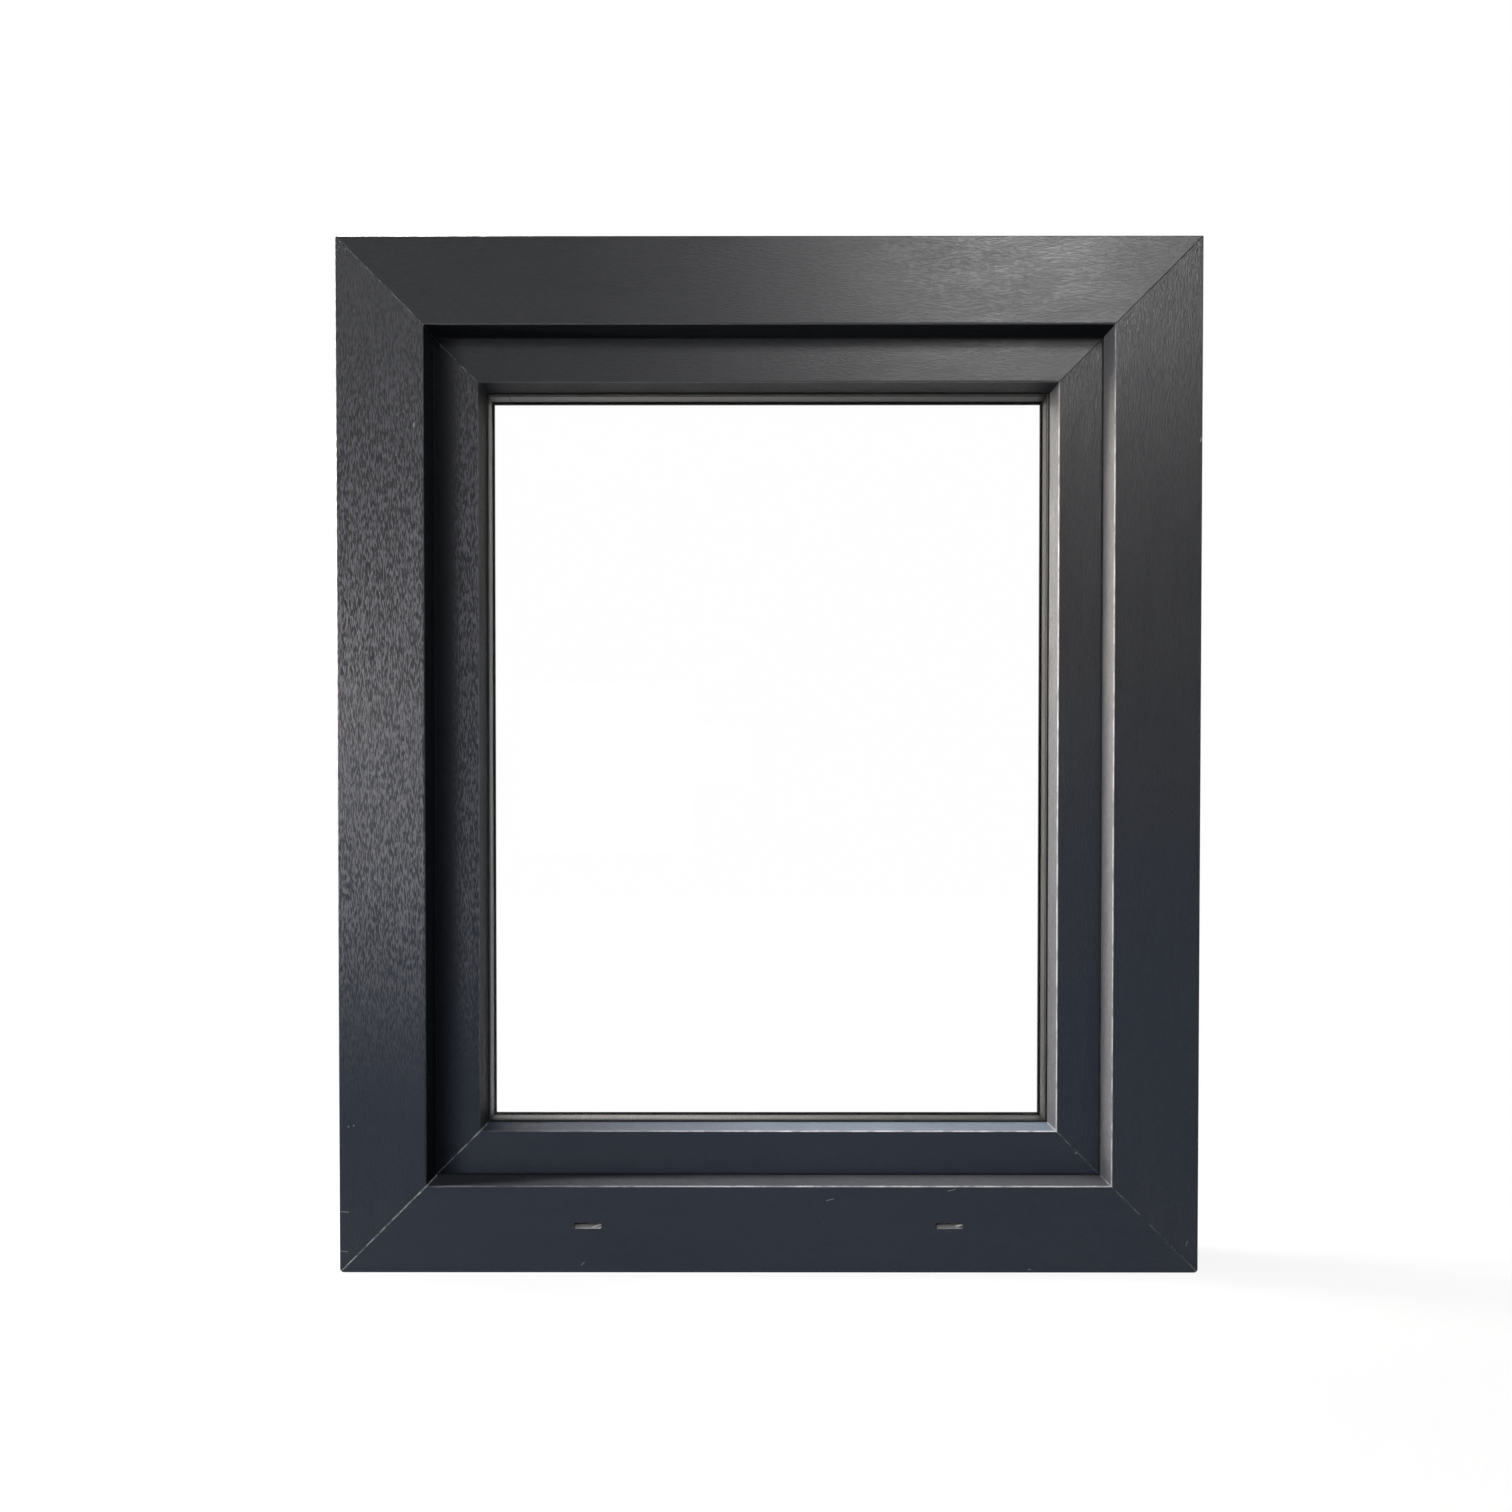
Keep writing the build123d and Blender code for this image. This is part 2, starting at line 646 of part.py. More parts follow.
def slot_pair(plane: Plane, spread: float, width: float, cut: float, rounded: bool = False) -> BuildPart:
    """Two slot shapes, one each side of the middle of a member, that cut through a wall."""
    with BuildPart() as slots:
        with BuildSketch(plane):
            with Locations((-spread / 2, 0), (spread / 2, 0)):
                if rounded:
                    SlotOverall(DRAIN_LENGTH, width)
                else:
                    Rectangle(DRAIN_LENGTH, width)
        extrude(amount=cut)
    return slots


def weld_groove(member: BuildPart, side: str, end: int, lowest: float, levels: tuple) -> BuildPart:
    """V groove along the part of one mitre above a height and between two levels, as a cutting shape."""
    plane = side_plane(side)
    corner = plane.from_local_coords(Vector(0, 0, end * side_length(side) / 2))
    across = (plane.x_dir + plane.z_dir * end).normalized()
    mitre = member.faces().filter_by(Plane(origin=corner, z_dir=across))[0]
    front, back = (depth(level) - WELD_GROOVE / 4 for level in levels)
    shown = [
        edge
        for edge in mitre.outer_wire().edges()
        if plane.to_local_coords(edge.center()).X > lowest
        and edge.center().Y > front
        and edge.bounding_box().min.Y < back
    ]
    path = Wire(shown)
    with BuildPart() as groove:
        with BuildSketch(Plane(origin=path @ 0, x_dir=across, z_dir=path % 0)):
            Rectangle(WELD_GROOVE / 2**0.5, WELD_GROOVE / 2**0.5, rotation=45)
        sweep(path=path)
    return groove


def weld_grooves(member: BuildPart, side: str, bands: tuple) -> list[BuildPart]:
    """Grooves at both ends of a member, one for each band of its outline that shows."""
    return [weld_groove(member, side, end, *band) for end in (1, -1) for band in bands]


def dressed_outline() -> BuildPart:
    """Block of the whole frame with its welded outer corners dressed round."""
    with BuildPart() as outline:
        with BuildSketch(front_plane(0, HEIGHT / 2, 0)) as front:
            Rectangle(WIDTH, HEIGHT)
            fillet(front.vertices().group_by(Axis.Y)[0], UPPER_CORNER_RADIUS)
            fillet(front.vertices().group_by(Axis.Y)[-1], LOWER_CORNER_RADIUS)
        extrude(amount=FRAME_DEPTH)
    return outline


def spindle_hole() -> BuildPart:
    """Round hole from the room face to the gearbox, as a cutting shape."""
    with BuildPart() as hole:
        with BuildSketch(front_plane(HANDLE_X, HANDLE_Z, GROOVE_DEPTH_LEVEL)):
            Circle(SPINDLE_HOLE / 2)
        extrude(amount=SASH_BACK - GROOVE_DEPTH_LEVEL)
    return hole


def cut_from(member: BuildPart, *cutters: BuildPart) -> BuildPart:
    """The member with the cutting shapes taken out of it."""
    with BuildPart() as cut:
        add(member.part)
        for cutter in cutters:
            add(cutter.part, mode=Mode.SUBTRACT)
    return cut


pieces: dict[str, BuildPart] = {}

# Outer frame
FRAME_NAMES = {
    "bottom": "frame_sill",
    "top": "frame_head",
    "left": "frame_jamb_left",
    "right": "frame_jamb_right",
}
FRAME_BANDS = (
    (CLIP_GROOVE_DEPTH + WEB, (0, FLANGE_DEPTH)),
    (CLIP_GROOVE_DEPTH + WEB, (FRAME_DEPTH - EDGE_RADIUS / 2, FRAME_DEPTH + EDGE_RADIUS)),
)
frame_profile = frame_section()
outline = dressed_outline()
for side, name in FRAME_NAMES.items():
    member = mitred_member(side, frame_profile)
    grooved = cut_from(member, *weld_grooves(member, side, FRAME_BANDS))
    with BuildPart() as dressed:
        add(grooved.part)
        add(outline.part, mode=Mode.INTERSECT)
    pieces[name] = dressed

# Drain slots through the front wall of the sill and through its rebate floor
front_wall = Plane(origin=(0, depth(0), DRAIN_HEIGHT), x_dir=(1, 0, 0), z_dir=(0, -1, 0))
rebate_floor = Plane(
    origin=(0, depth((FLANGE_DEPTH + FRONT_CHAMBER_BACK) / 2), FRAME_REBATE),
    x_dir=(1, 0, 0),
    z_dir=(0, 0, 1),
)
pieces["frame_sill"] = cut_from(
    pieces["frame_sill"],
    slot_pair(front_wall, DRAIN_SPREAD, DRAIN_WIDTH, -WALL, rounded=True),
    slot_pair(rebate_floor, REBATE_DRAIN_SPREAD, REBATE_DRAIN_WIDTH, -WALL),
)

# Sash
SASH_NAMES = {
    "bottom": "sash_bottom_rail",
    "top": "sash_top_rail",
    "left": "sash_stile_left",
    "right": "sash_stile_right",
}
SASH_BANDS = (
    (SASH_EDGE + EDGE_RADIUS, (SASH_FRONT, GLAZING_FRONT)),
    (SASH_LEG + SOFT_RADIUS, (SASH_BACK - EDGE_RADIUS / 2, SASH_BACK + EDGE_RADIUS)),
)
sash_profile = sash_section()
for side, name in SASH_NAMES.items():
    member = mitred_member(side, sash_profile)
    pieces[name] = cut_from(member, *weld_grooves(member, side, SASH_BANDS))

# Way for water from the glazing rebate through the front chamber of the bottom rail
glazing_back = Plane(
    origin=(0, depth(GLAZING_FRONT), GLAZING_FLOOR + DRAIN_WIDTH / 2), x_dir=(1, 0, 0), z_dir=(0, 1, 0)
)
sash_underside = Plane(
    origin=(0, depth((SASH_FRONT + GLAZING_FRONT) / 2), SASH_EDGE), x_dir=(1, 0, 0), z_dir=(0, 0, 1)
)
pieces["sash_bottom_rail"] = cut_from(
    pieces["sash_bottom_rail"],
    slot_pair(glazing_back, SASH_DRAIN_SPREAD, DRAIN_WIDTH, -WALL),
    slot_pair(sash_underside, SASH_DRAIN_SPREAD, DRAIN_WIDTH, WALL),
)

# Pocket of the gearbox and hole for the spindle in the handle stile
pocket = gearbox_block(GEARBOX_CLEARANCE)
pieces["sash_stile_left"] = cut_from(pieces["sash_stile_left"], pocket, spindle_hole())

# Glazing beads
bead_profile = bead_section()
for side in SIDES:
    pieces[f"glazing_bead_{side}"] = mitred_member(side, bead_profile)

# Glass unit
pieces["glass_outer_pane"] = pane(GLASS_FRONT)
pieces["glass_inner_pane"] = pane(CAVITY_BACK)
pieces["glass_spacer"] = mitred_ring(spacer_section())
pieces["glass_edge_seal"] = mitred_ring(
    strip_section(GLASS_EDGE, SPACER_EDGE, CAVITY_FRONT, CAVITY_BACK)
)
pieces["setting_blocks"] = setting_block_set()

# Gaskets
GASKETS = {
    "frame_gasket": (FRAME_TIP, STOP_GASKET, FLANGE_DEPTH, SASH_FRONT),
    "overlap_gasket": (SASH_LEG + LEG_GASKET, LEG_GASKET, FRAME_DEPTH, LEG_FRONT),
    "glazing_gasket_outer": (SASH_TIP + OUTER_GASKET_PROUD, GLASS_GASKET, GLAZING_FRONT, GLASS_FRONT),
    "glazing_gasket_inner": (SASH_TIP + INNER_GASKET_PROUD, GLASS_GASKET, GLASS_BACK, BEAD_FRONT),
}
for name, (tip, height, front, back) in GASKETS.items():
    pieces[name] = mitred_ring(strip_section(tip - height, tip, front, back))

# Steel inside the frame and the sash
pieces["frame_reinforcement"] = steel_bars(
    steel_section(
        CLIP_GROOVE_DEPTH + WEB,
        FRAME_REBATE - WALL - SCREW_CHAMBER - WEB,
        FRONT_CHAMBER_BACK + WEB,
        FRAME_DEPTH - WALL - ROOM_CHAMBER - WEB,
    )
)
pieces["sash_reinforcement"] = cut_from(
    steel_bars(steel_section(GROOVE_CASE + WEB, GLAZING_FLOOR - WALL, GLAZING_FRONT + WEB, LEG_FRONT)),
    pocket,
    spindle_hole(),
)

# Lock round the sash and its strikers on the frame
for side in SIDES:
    pieces[f"lock_rail_{side}"] = lock_rail(side)
pieces["lock_gearbox"] = gearbox()
pieces["lock_strikers"] = striker_set()

# Handle
pieces["handle_rosette"] = rosette()
pieces["handle_lever"] = lever()
pieces["handle_spindle"] = spindle()

# Hinges
HINGES = {"lower": (HINGE_INSET, 1), "upper": (HEIGHT - HINGE_INSET, -1)}
for place, (start, way) in HINGES.items():
    pieces[f"hinge_{place}_bracket"] = hinge_bracket(start, way)
    pieces[f"hinge_{place}_arm"] = hinge_arm(start, way)
    pieces[f"hinge_{place}_pin"] = hinge_pin(start, way)

os.makedirs("parts", exist_ok=True)
for name, piece in pieces.items():
    piece.part.label = name
    export_step(piece.part, f"parts/{name}.step")
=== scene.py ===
import logging
import math
from dataclasses import dataclass, field
from enum import Enum
from typing import Callable

import bmesh
import bpy
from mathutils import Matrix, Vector


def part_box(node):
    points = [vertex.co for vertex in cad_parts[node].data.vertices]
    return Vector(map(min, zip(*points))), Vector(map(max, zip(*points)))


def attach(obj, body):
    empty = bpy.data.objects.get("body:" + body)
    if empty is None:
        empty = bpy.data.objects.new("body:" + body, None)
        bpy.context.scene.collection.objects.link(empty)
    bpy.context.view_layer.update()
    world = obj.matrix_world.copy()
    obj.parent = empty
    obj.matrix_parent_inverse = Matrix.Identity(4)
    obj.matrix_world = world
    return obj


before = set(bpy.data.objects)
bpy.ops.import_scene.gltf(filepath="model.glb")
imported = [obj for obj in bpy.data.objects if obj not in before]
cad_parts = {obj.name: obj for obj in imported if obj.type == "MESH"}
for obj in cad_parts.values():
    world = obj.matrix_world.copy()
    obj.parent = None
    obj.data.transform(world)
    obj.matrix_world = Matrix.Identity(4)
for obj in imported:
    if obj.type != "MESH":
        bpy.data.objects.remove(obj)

LOG = logging.getLogger("window")

MM = 0.001

# Sockets of the colour mixing node, by place
MIX_SHARE = 0
MIX_FIRST = 6
MIX_SECOND = 7
MIX_RESULT = 2

Colour = tuple[float, float, float]
Point = tuple[float, float, float]
Span = tuple[float, float]
Socket = bpy.types.NodeSocket
Tree = bpy.types.NodeTree
Material = bpy.types.Material
Piece = bpy.types.Object

ORIGIN: Point = (0.0, 0.0, 0.0)
WHITE: Colour = (1.0, 1.0, 1.0)
RISE: Span = (0.0, 1.0)
FALL: Span = (1.0, 0.0)


def grey(value: float) -> Colour:
    """Neutral colour of one value."""
    return (value, value, value)


class Side(Enum):
    """One side of the window, seen from outside."""

    BOTTOM = "bottom"
    TOP = "top"
    LEFT = "left"
    RIGHT = "right"


@dataclass(frozen=True)
class WindowSizes:
    """Main sizes of the window, in metres, as the solids have them."""

    width: float = 0.700
    height: float = 0.840
    half_depth: float = 0.035
    frame_face: float = 0.0705
    sash_corner: float = 0.111
    sash_front: float = -0.013
    sash_back: float = 0.057
    spacer_edge: float = 0.110
    spacer_height: float = 0.007
    cavity_front: float = 0.010
    cavity_back: float = 0.026
    foil_edge: float = 0.00045
    flange_depth: float = 0.0188
    cut_depth: float = 0.004
    core_low: float = 0.0025
    core_high: float = 0.068
    deep_middle: float = 0.027
    deep_half: float = 0.0245
    bare_rim: float = 0.0042
    foil_lap: float = 0.009
    bracket_plate: float = 0.004
    arm_plate: float = 0.003

    @property
    def middle(self) -> float:
        """Height of the middle of the window."""
        return self.height / 2


SIZES = WindowSizes()


# Node trees

def operator(name: str) -> Callable[["Value", object], "Value"]:
    """Make the method of one sign.

    Args:
        name: Name of the Math node's operation.

    Returns:
        Method that works out the sign between a value and another.
    """

    def work(self: "Value", other: object) -> "Value":
        """Add the node that works it out."""
        return self.sketch.math(name, self, other)

    return work


@dataclass(eq=False)
class Value:
    """Number or vector in a node tree; a sign written with it adds a node, and | is the larger."""

    sketch: "Sketch"
    socket: Socket

    __add__ = operator("ADD")
    __sub__ = operator("SUBTRACT")
    __mul__ = operator("MULTIPLY")
    __truediv__ = operator("DIVIDE")
    __or__ = operator("MAXIMUM")
    __lt__ = operator("LESS_THAN")
    __gt__ = operator("GREATER_THAN")

    def __rsub__(self, other: float) -> "Value":
        """Take the value from a plain number."""
        return self.sketch.math("SUBTRACT", other, self)

    def __abs__(self) -> "Value":
        """Drop the sign of the value."""
        return self.sketch.math("ABSOLUTE", self)


Values = dict[str, Value]
Effect = Callable[["Sketch", Values], Values]


@dataclass
class Sketch:
    """Short way to add nodes to one node tree and join them."""

    tree: Tree

    def feed(self, socket: Socket, source: object) -> None:
        """Give a socket its source.

        Args:
            socket: Input of a node.
            source: Value or socket of the same tree, or a plain value.
        """
        if isinstance(source, Value):
            source = source.socket
        if isinstance(source, Socket):
            self.tree.links.new(source, socket)
        else:
            socket.default_value = source

    def add(self, kind: str, *sources: object, **values: object) -> bpy.types.Node:
        """Add one node and feed its inputs in their order.

        Args:
            kind: Blender's type name of the node.
            sources: Sources of its inputs.
            values: Properties of the node.

        Returns:
            The new node.
        """
        node = self.tree.nodes.new(kind)
        for name, value in values.items():
            setattr(node, name, value)
        for socket, source in zip(node.inputs, sources):
            self.feed(socket, source)
        return node

    def math(self, operation: str, *sources: object, clamp: bool = False) -> Value:
        """Work out one number, held between 0 and 1 where clamp is set."""
        node = self.add("ShaderNodeMath", *sources, operation=operation, use_clamp=clamp)
        return Value(self, node.outputs[0])

    def vector(self, operation: str, *sources: object, output: str = "Vector") -> Value:
        """Work out one vector, or a number from vectors."""
        node = self.add("ShaderNodeVectorMath", *sources, operation=operation)
        return Value(self, node.outputs[output])

    def combine(self, x: Value, y: Value, z: Value) -> Value:
        """Join three numbers to a vector."""
        return Value(self, self.add("ShaderNodeCombineXYZ", x, y, z).outputs[0])

    def split(self, source: Value) -> list[Value]:
        """Take a vector apart into its three numbers."""
        node = self.add("ShaderNodeSeparateXYZ", source)
        return [Value(self, socket) for socket in node.outputs]

    def step(self, value: Value, span: Span, to: Span = RISE) -> Value:
        """Soft step from one value to another, as a number crosses a span."""
        node = self.add("ShaderNodeMapRange", value, *span, *to, interpolation_type="SMOOTHSTEP")
        return Value(self, node.outputs[0])

    def noise(self, place: Value, scale: object, detail: float = 2.0, rough: float = 0.5) -> Value:
        """Cloudy value between 0 and 1, with so many waves in a metre and so many finer layers."""
        node = self.add("ShaderNodeTexNoise", place, 0.0, scale, detail, rough)
        return Value(self, node.outputs["Fac"])

    def broken(self, place: Value, scale: float, detail: float, least: float) -> Value:
        """Share that breaks up a line: from a least value to 1, by a noise."""
        return self.step(self.noise(place, scale, detail, 0.6), (0.35, 0.60), (least, 1.0))

    def mix(self, share: object, first: object, second: object) -> Value:
        """Blend two colours.

        Args:
            share: 0 for the first colour, 1 for the second.
            first: Colour or value.
            second: Colour or value.

        Returns:
            The blend.
        """
        node = self.add("ShaderNodeMix", data_type="RGBA")
        self.feed(node.inputs[MIX_SHARE], share)
        self.feed(node.inputs[MIX_FIRST], rgba(first))
        self.feed(node.inputs[MIX_SECOND], rgba(second))
        return Value(self, node.outputs[MIX_RESULT])


def rgba(colour: object) -> object:
    """Give a plain colour its fourth number, and leave all else as it is."""
    return (*colour, 1.0) if isinstance(colour, tuple) and len(colour) == 3 else colour


# Inputs of the effects with their plain values
FOIL_PLACE = {"Place": ORIGIN, "Inward": 0.0, "Upright": 0.0}
EFFECT_INPUTS: dict[str, dict[str, object]] = {
    "member_place": {"Place": ORIGIN},
    "foil_grain": {
        **dict.fromkeys(("Inward", "Along", "Level", "Upright"), 0.0),
        "Dash Width": 0.0008,
        "Dash Length": 0.0056,
    },
    "nick": {"Place": ORIGIN, "Start": ORIGIN, "End": (0.0, 0.0, 0.001), "Width": 0.0005},
    "specks": {"Place": ORIGIN, "Scale": 90.0, "Share": 0.05, "Size": 0.03},
    "ridge_dust": {**FOIL_PLACE, "Pores": 0.0},
    "edge_shine": FOIL_PLACE,
    "weld_line": {"Place": ORIGIN, "Mitre": 0.0, "Half Width": 0.0005},
    "slopes": FOIL_PLACE,
    "foil_warmth": {
        "Place": ORIGIN, "Slope": 0.0, "Foot": 0.14, "Slope Share": 0.75, "Room Share": 0.6
    },
    "mottle": {
        "Place": ORIGIN, "Stretch": (1.0, 1.0, 1.0), "Cloud Scale": 20.0, "Tooth Scale": 900.0
    },
}


@dataclass
class Effects:
    """Shader node groups that finishes share, each built once.

    The fields say where in the foil a change begins and ends, in metres, and how strong it is.
    """

    built: dict[str, Tree] = field(default_factory=dict)
    upright_shift: float = 37.0
    fine_stretch: Point = (2.7, 2.7, 1.6)
    fine_share: float = 0.45
    patch_stretch: Point = (0.05, 0.05, 0.08)
    pore_span: Span = (0.45, 0.58)
    ragged_scale: float = 1400.0
    ragged_least: float = 0.25
    frame_level: float = -0.030
    sash_level: float = -0.008
    # Painted highlight on the left members' grain: where it lies and how high it reaches
    left_limit: float = -0.2
    beside_glass: Span = (0.086, 0.100)
    dust_foot: Span = (0.12, 0.32)
    dust_head: Span = (0.58, 0.86)
    dust_high: float = 0.15
    # Painted glint along the slopes' front edges
    edge_fade: Span = (0.0002, 0.0006)
    shine_run: Span = (-0.25, 0.05)
    shine_least: float = 0.15
    shine_base: float = 0.05
    shine_right: float = 0.5
    shine_bottom: float = 0.8
    # Weld strength by corner, in part a painted glint, and its width
    weld_left: float = 0.42
    weld_left_low: float = 0.55
    weld_right_low: float = 0.26
    weld_widening: float = 0.4
    weld_fade: Span = (0.7, 1.3)
    # Painted shade on the left and top slopes and in the recess beside the left frame
    black_frame: float = 0.88
    black_sash: float = 0.55
    recess_half: float = 0.001
    recess_run: Span = (-0.272, -0.245)
    recess_black: float = 0.85
    # Painted sky reflection
    sky_run: Span = (-0.17, 0.06)
    # Painted light on the right and bottom frame slopes
    rubbed_run: Span = (-0.10, 0.20)
    rubbed_bottom: float = 0.7
    # Painted light tint: warm high up, cool low down, fixed on the room side
    warm_wave: float = 0.3
    warm_run: Span = (0.15, 0.61)
    room_run: Span = (0.028, 0.034)

    def use(self, sketch: Sketch, effect: Effect, known: dict[str, object]) -> Values:
        """Place an effect's group in a tree, and build the group the first time.

        Args:
            sketch: Tree that gets it.
            effect: Method of this class that draws the effect.
            known: Sources by name, from which the group's inputs take what they need.

        Returns:
            Its outputs by name.
        """
        name = effect.__name__
        if name not in self.built:
            self.built[name] = self.group(name, effect)
        node = sketch.add("ShaderNodeGroup", node_tree=self.built[name])
        for socket in node.inputs:
            if socket.name in known:
                sketch.feed(socket, known[socket.name])
        return {socket.name: Value(sketch, socket) for socket in node.outputs}

    def group(self, name: str, effect: Effect) -> Tree:
        """Build an effect's group.

        Args:
            name: Name of the group.
            effect: Method that adds the nodes between inputs and outputs.

        Returns:
            The node group.
        """
        tree = bpy.data.node_groups.new(name, "ShaderNodeTree")
        for label, value in EFFECT_INPUTS[name].items():
            kind = "NodeSocketVector" if isinstance(value, tuple) else "NodeSocketFloat"
            socket = tree.interface.new_socket(label, in_out="INPUT", socket_type=kind)
            socket.default_value = value
        sketch = Sketch(tree)
        source = sketch.add("NodeGroupInput")
        drain = sketch.add("NodeGroupOutput")
        given = {socket.name: Value(sketch, socket) for socket in source.outputs}
        for label, result in effect(sketch, given).items():
            tree.interface.new_socket(label, in_out="OUTPUT", socket_type="NodeSocketFloat")
            sketch.feed(drain.inputs[label], result)
        return tree

    def member_place(self, sketch: Sketch, given: Values) -> Values:
        """Place on the mitred members: how far in from the outer edge, and how far along.

        Args:
            sketch: Tree of the group.
            given: Its inputs by name.

        Returns:
            Its outputs by name.
        """
        x, y, z = sketch.split(given["Place"])
        side = abs(x) - SIZES.width / 2
        up = z - SIZES.middle
        end = abs(up) - SIZES.middle
        upright = side > end
        along = upright * up + (1.0 - upright) * x
        return {
            "Inward": (side | end) * -1.0,
            "Along": along,
            "Upright": upright,
            "Level": y,
            "Mitre": abs(side - end),
        }

    def foil_grain(self, sketch: Sketch, given: Values) -> Values:
        """Short embossed dashes that run along a member, as on a wood-grained foil.

        Args:
            sketch: Tree of the group.
            given: Its inputs by name.

        Returns:
            Its outputs by name.
        """
        across = given["Inward"] / given["Dash Width"]
        deep = given["Level"] / given["Dash Width"]
        along = given["Along"] / given["Dash Length"] + given["Upright"] * self.upright_shift
        place = sketch.combine(across, deep, along)
        dashes = sketch.noise(place, 1.0, 2.0, 0.55)
        fine = sketch.noise(sketch.vector("MULTIPLY", place, self.fine_stretch), 1.0, 1.0)
        patches = sketch.noise(sketch.vector("MULTIPLY", place, self.patch_stretch), 1.0)
        pores = sketch.step(dashes, self.pore_span)
        return {"Height": pores + fine * self.fine_share, "Pores": pores, "Patches": patches}

    def nick(self, sketch: Sketch, given: Values) -> Values:
        """Short scratch between two points, broken up along its length.

        Args:
            sketch: Tree of the group.
            given: Its inputs by name.

        Returns:
            Its outputs by name.
        """
        run = sketch.vector("SUBTRACT", given["End"], given["Start"])
        out = sketch.vector("SUBTRACT", given["Place"], given["Start"])
        dots = [sketch.vector("DOT_PRODUCT", way, run, output="Value") for way in (out, run)]
        scale = sketch.add("ShaderNodeVectorMath", operation="SCALE")
        sketch.feed(scale.inputs[0], run)
        sketch.feed(scale.inputs["Scale"], sketch.math("DIVIDE", *dots, clamp=True))
        away = sketch.vector("SUBTRACT", out, scale.outputs[0])
        distance = sketch.vector("LENGTH", away, output="Value")
        ragged = sketch.noise(given["Place"], self.ragged_scale, 1.0)
        return {"Mark": distance < given["Width"] * (ragged + self.ragged_least)}

    def specks(self, sketch: Sketch, given: Values) -> Values:
        """Sparse pale specks of dust and swarf.

        Args:
            sketch: Tree of the group.
            given: Its inputs by name.

        Returns:
            Its outputs by name.
        """
        cells = sketch.add("ShaderNodeTexVoronoi", feature="F1")
        sketch.feed(cells.inputs["Vector"], given["Place"])
        sketch.feed(cells.inputs["Scale"], given["Scale"])
        chance = sketch.add("ShaderNodeSeparateColor", cells.outputs["Color"])
        rare = Value(sketch, chance.outputs[0]) < given["Share"]
        return {"Mark": rare * (Value(sketch, cells.outputs["Distance"]) < given["Size"])}

    def ridge_dust(self, sketch: Sketch, given: Values) -> Values:
        """Painted highlight on the grain of the left members' flat front, most at mid height, as
        raking light from the left would give.

        Args:
            sketch: Tree of the group.
            given: Its inputs by name.

        Returns:
            Its outputs by name.
        """
        x, y, z = sketch.split(given["Place"])
        inward = given["Inward"]
        left = (x < self.left_limit) * given["Upright"]
        frame_face = (y < self.frame_level) * (inward < SIZES.frame_face)
        beside_glass = sketch.step(inward, self.beside_glass) * (inward < SIZES.sash_corner)
        front = left * (frame_face | ((y < 0.0) * beside_glass))
        fall = sketch.step(z, self.dust_head, (1.0, self.dust_high))
        rise = sketch.step(z, self.dust_foot) * fall
        return {"Dust": front * rise * given["Pores"]}

    def edge_shine(self, sketch: Sketch, given: Values) -> Values:
        """Painted glint along the front edges of the slopes, most at the right and the bottom, as
        light from the left would catch them.

        Args:
            sketch: Tree of the group.
            given: Its inputs by name.

        Returns:
            Its outputs by name.
        """
        x, y, z = sketch.split(given["Place"])
        levels = ((SIZES.frame_face, self.frame_level), (SIZES.sash_corner, self.sash_level))
        frame_edge, sash_edge = (
            sketch.step(abs(given["Inward"] - edge), self.edge_fade, FALL) * (y < level)
            for edge, level in levels
        )
        right = given["Upright"] * (x > 0.0)
        bottom = (z < SIZES.middle) * (1.0 - given["Upright"])
        bottom = bottom * sketch.step(x, self.shine_run, (self.shine_least, 1.0))
        sides = right * self.shine_right + bottom * self.shine_bottom
        broken = sketch.broken(given["Place"], 70.0, 3.0, 0.45)
        return {"Shine": (frame_edge | sash_edge) * ((sides + self.shine_base) * broken)}

    def weld_line(self, sketch: Sketch, given: Values) -> Values:
        """Pale weld along the mitres, with a painted glint: most at the lower left, least at the
        upper right, as light from the left would catch the grooves.

        Args:
            sketch: Tree of the group.
            given: Its inputs by name.

        Returns:
            Its outputs by name.
        """
        x, _, z = sketch.split(given["Place"])
        left = x < 0.0
        low = z < SIZES.middle
        at_left = left * (low * self.weld_left_low + self.weld_left)
        at_right = (1.0 - left) * (low * self.weld_right_low)
        wide = low * self.weld_widening + 1.0
        line = 1.0 - sketch.step(given["Mitre"] / wide / given["Half Width"], self.weld_fade)
        broken = sketch.broken(given["Place"], 160.0, 2.0, 0.25)
        return {"Weld": line * ((at_left + at_right) * broken)}

    def slopes(self, sketch: Sketch, given: Values) -> Values:
        """The sloped inner edges, with painted shade at the left and top and in the recess beside
        the left frame, painted light on the right and bottom frame slopes, and a painted sky
        reflection on the bottom sash slope.

        Args:
            sketch: Tree of the group.
            given: Its inputs by name.

        Returns:
            Its outputs by name.
        """
        x, y, z = sketch.split(given["Place"])
        inward, upright = given["Inward"], given["Upright"]
        lying = 1.0 - upright
        high = z > SIZES.middle
        front = y < SIZES.cavity_front
        on_frame = y < SIZES.sash_front - SIZES.foil_edge
        frame_slope = (inward > SIZES.frame_face + SIZES.foil_edge) * on_frame
        sash_slope = inward > SIZES.sash_corner + SIZES.foil_edge
        # painted shade on the left and top slopes
        depth = (frame_slope * self.black_frame) | (sash_slope * self.black_sash)
        black = depth * front * ((upright * (x < 0.0)) | (lying * high))
        # painted shade in the recess beside the left frame
        recess = abs(y - SIZES.sash_front) < self.recess_half
        beside = sketch.step(x, self.recess_run, (self.recess_black, 0.0))
        # painted sky reflection on the bottom sash slope, towards the right
        mirror = sash_slope * lying * (z < SIZES.middle)
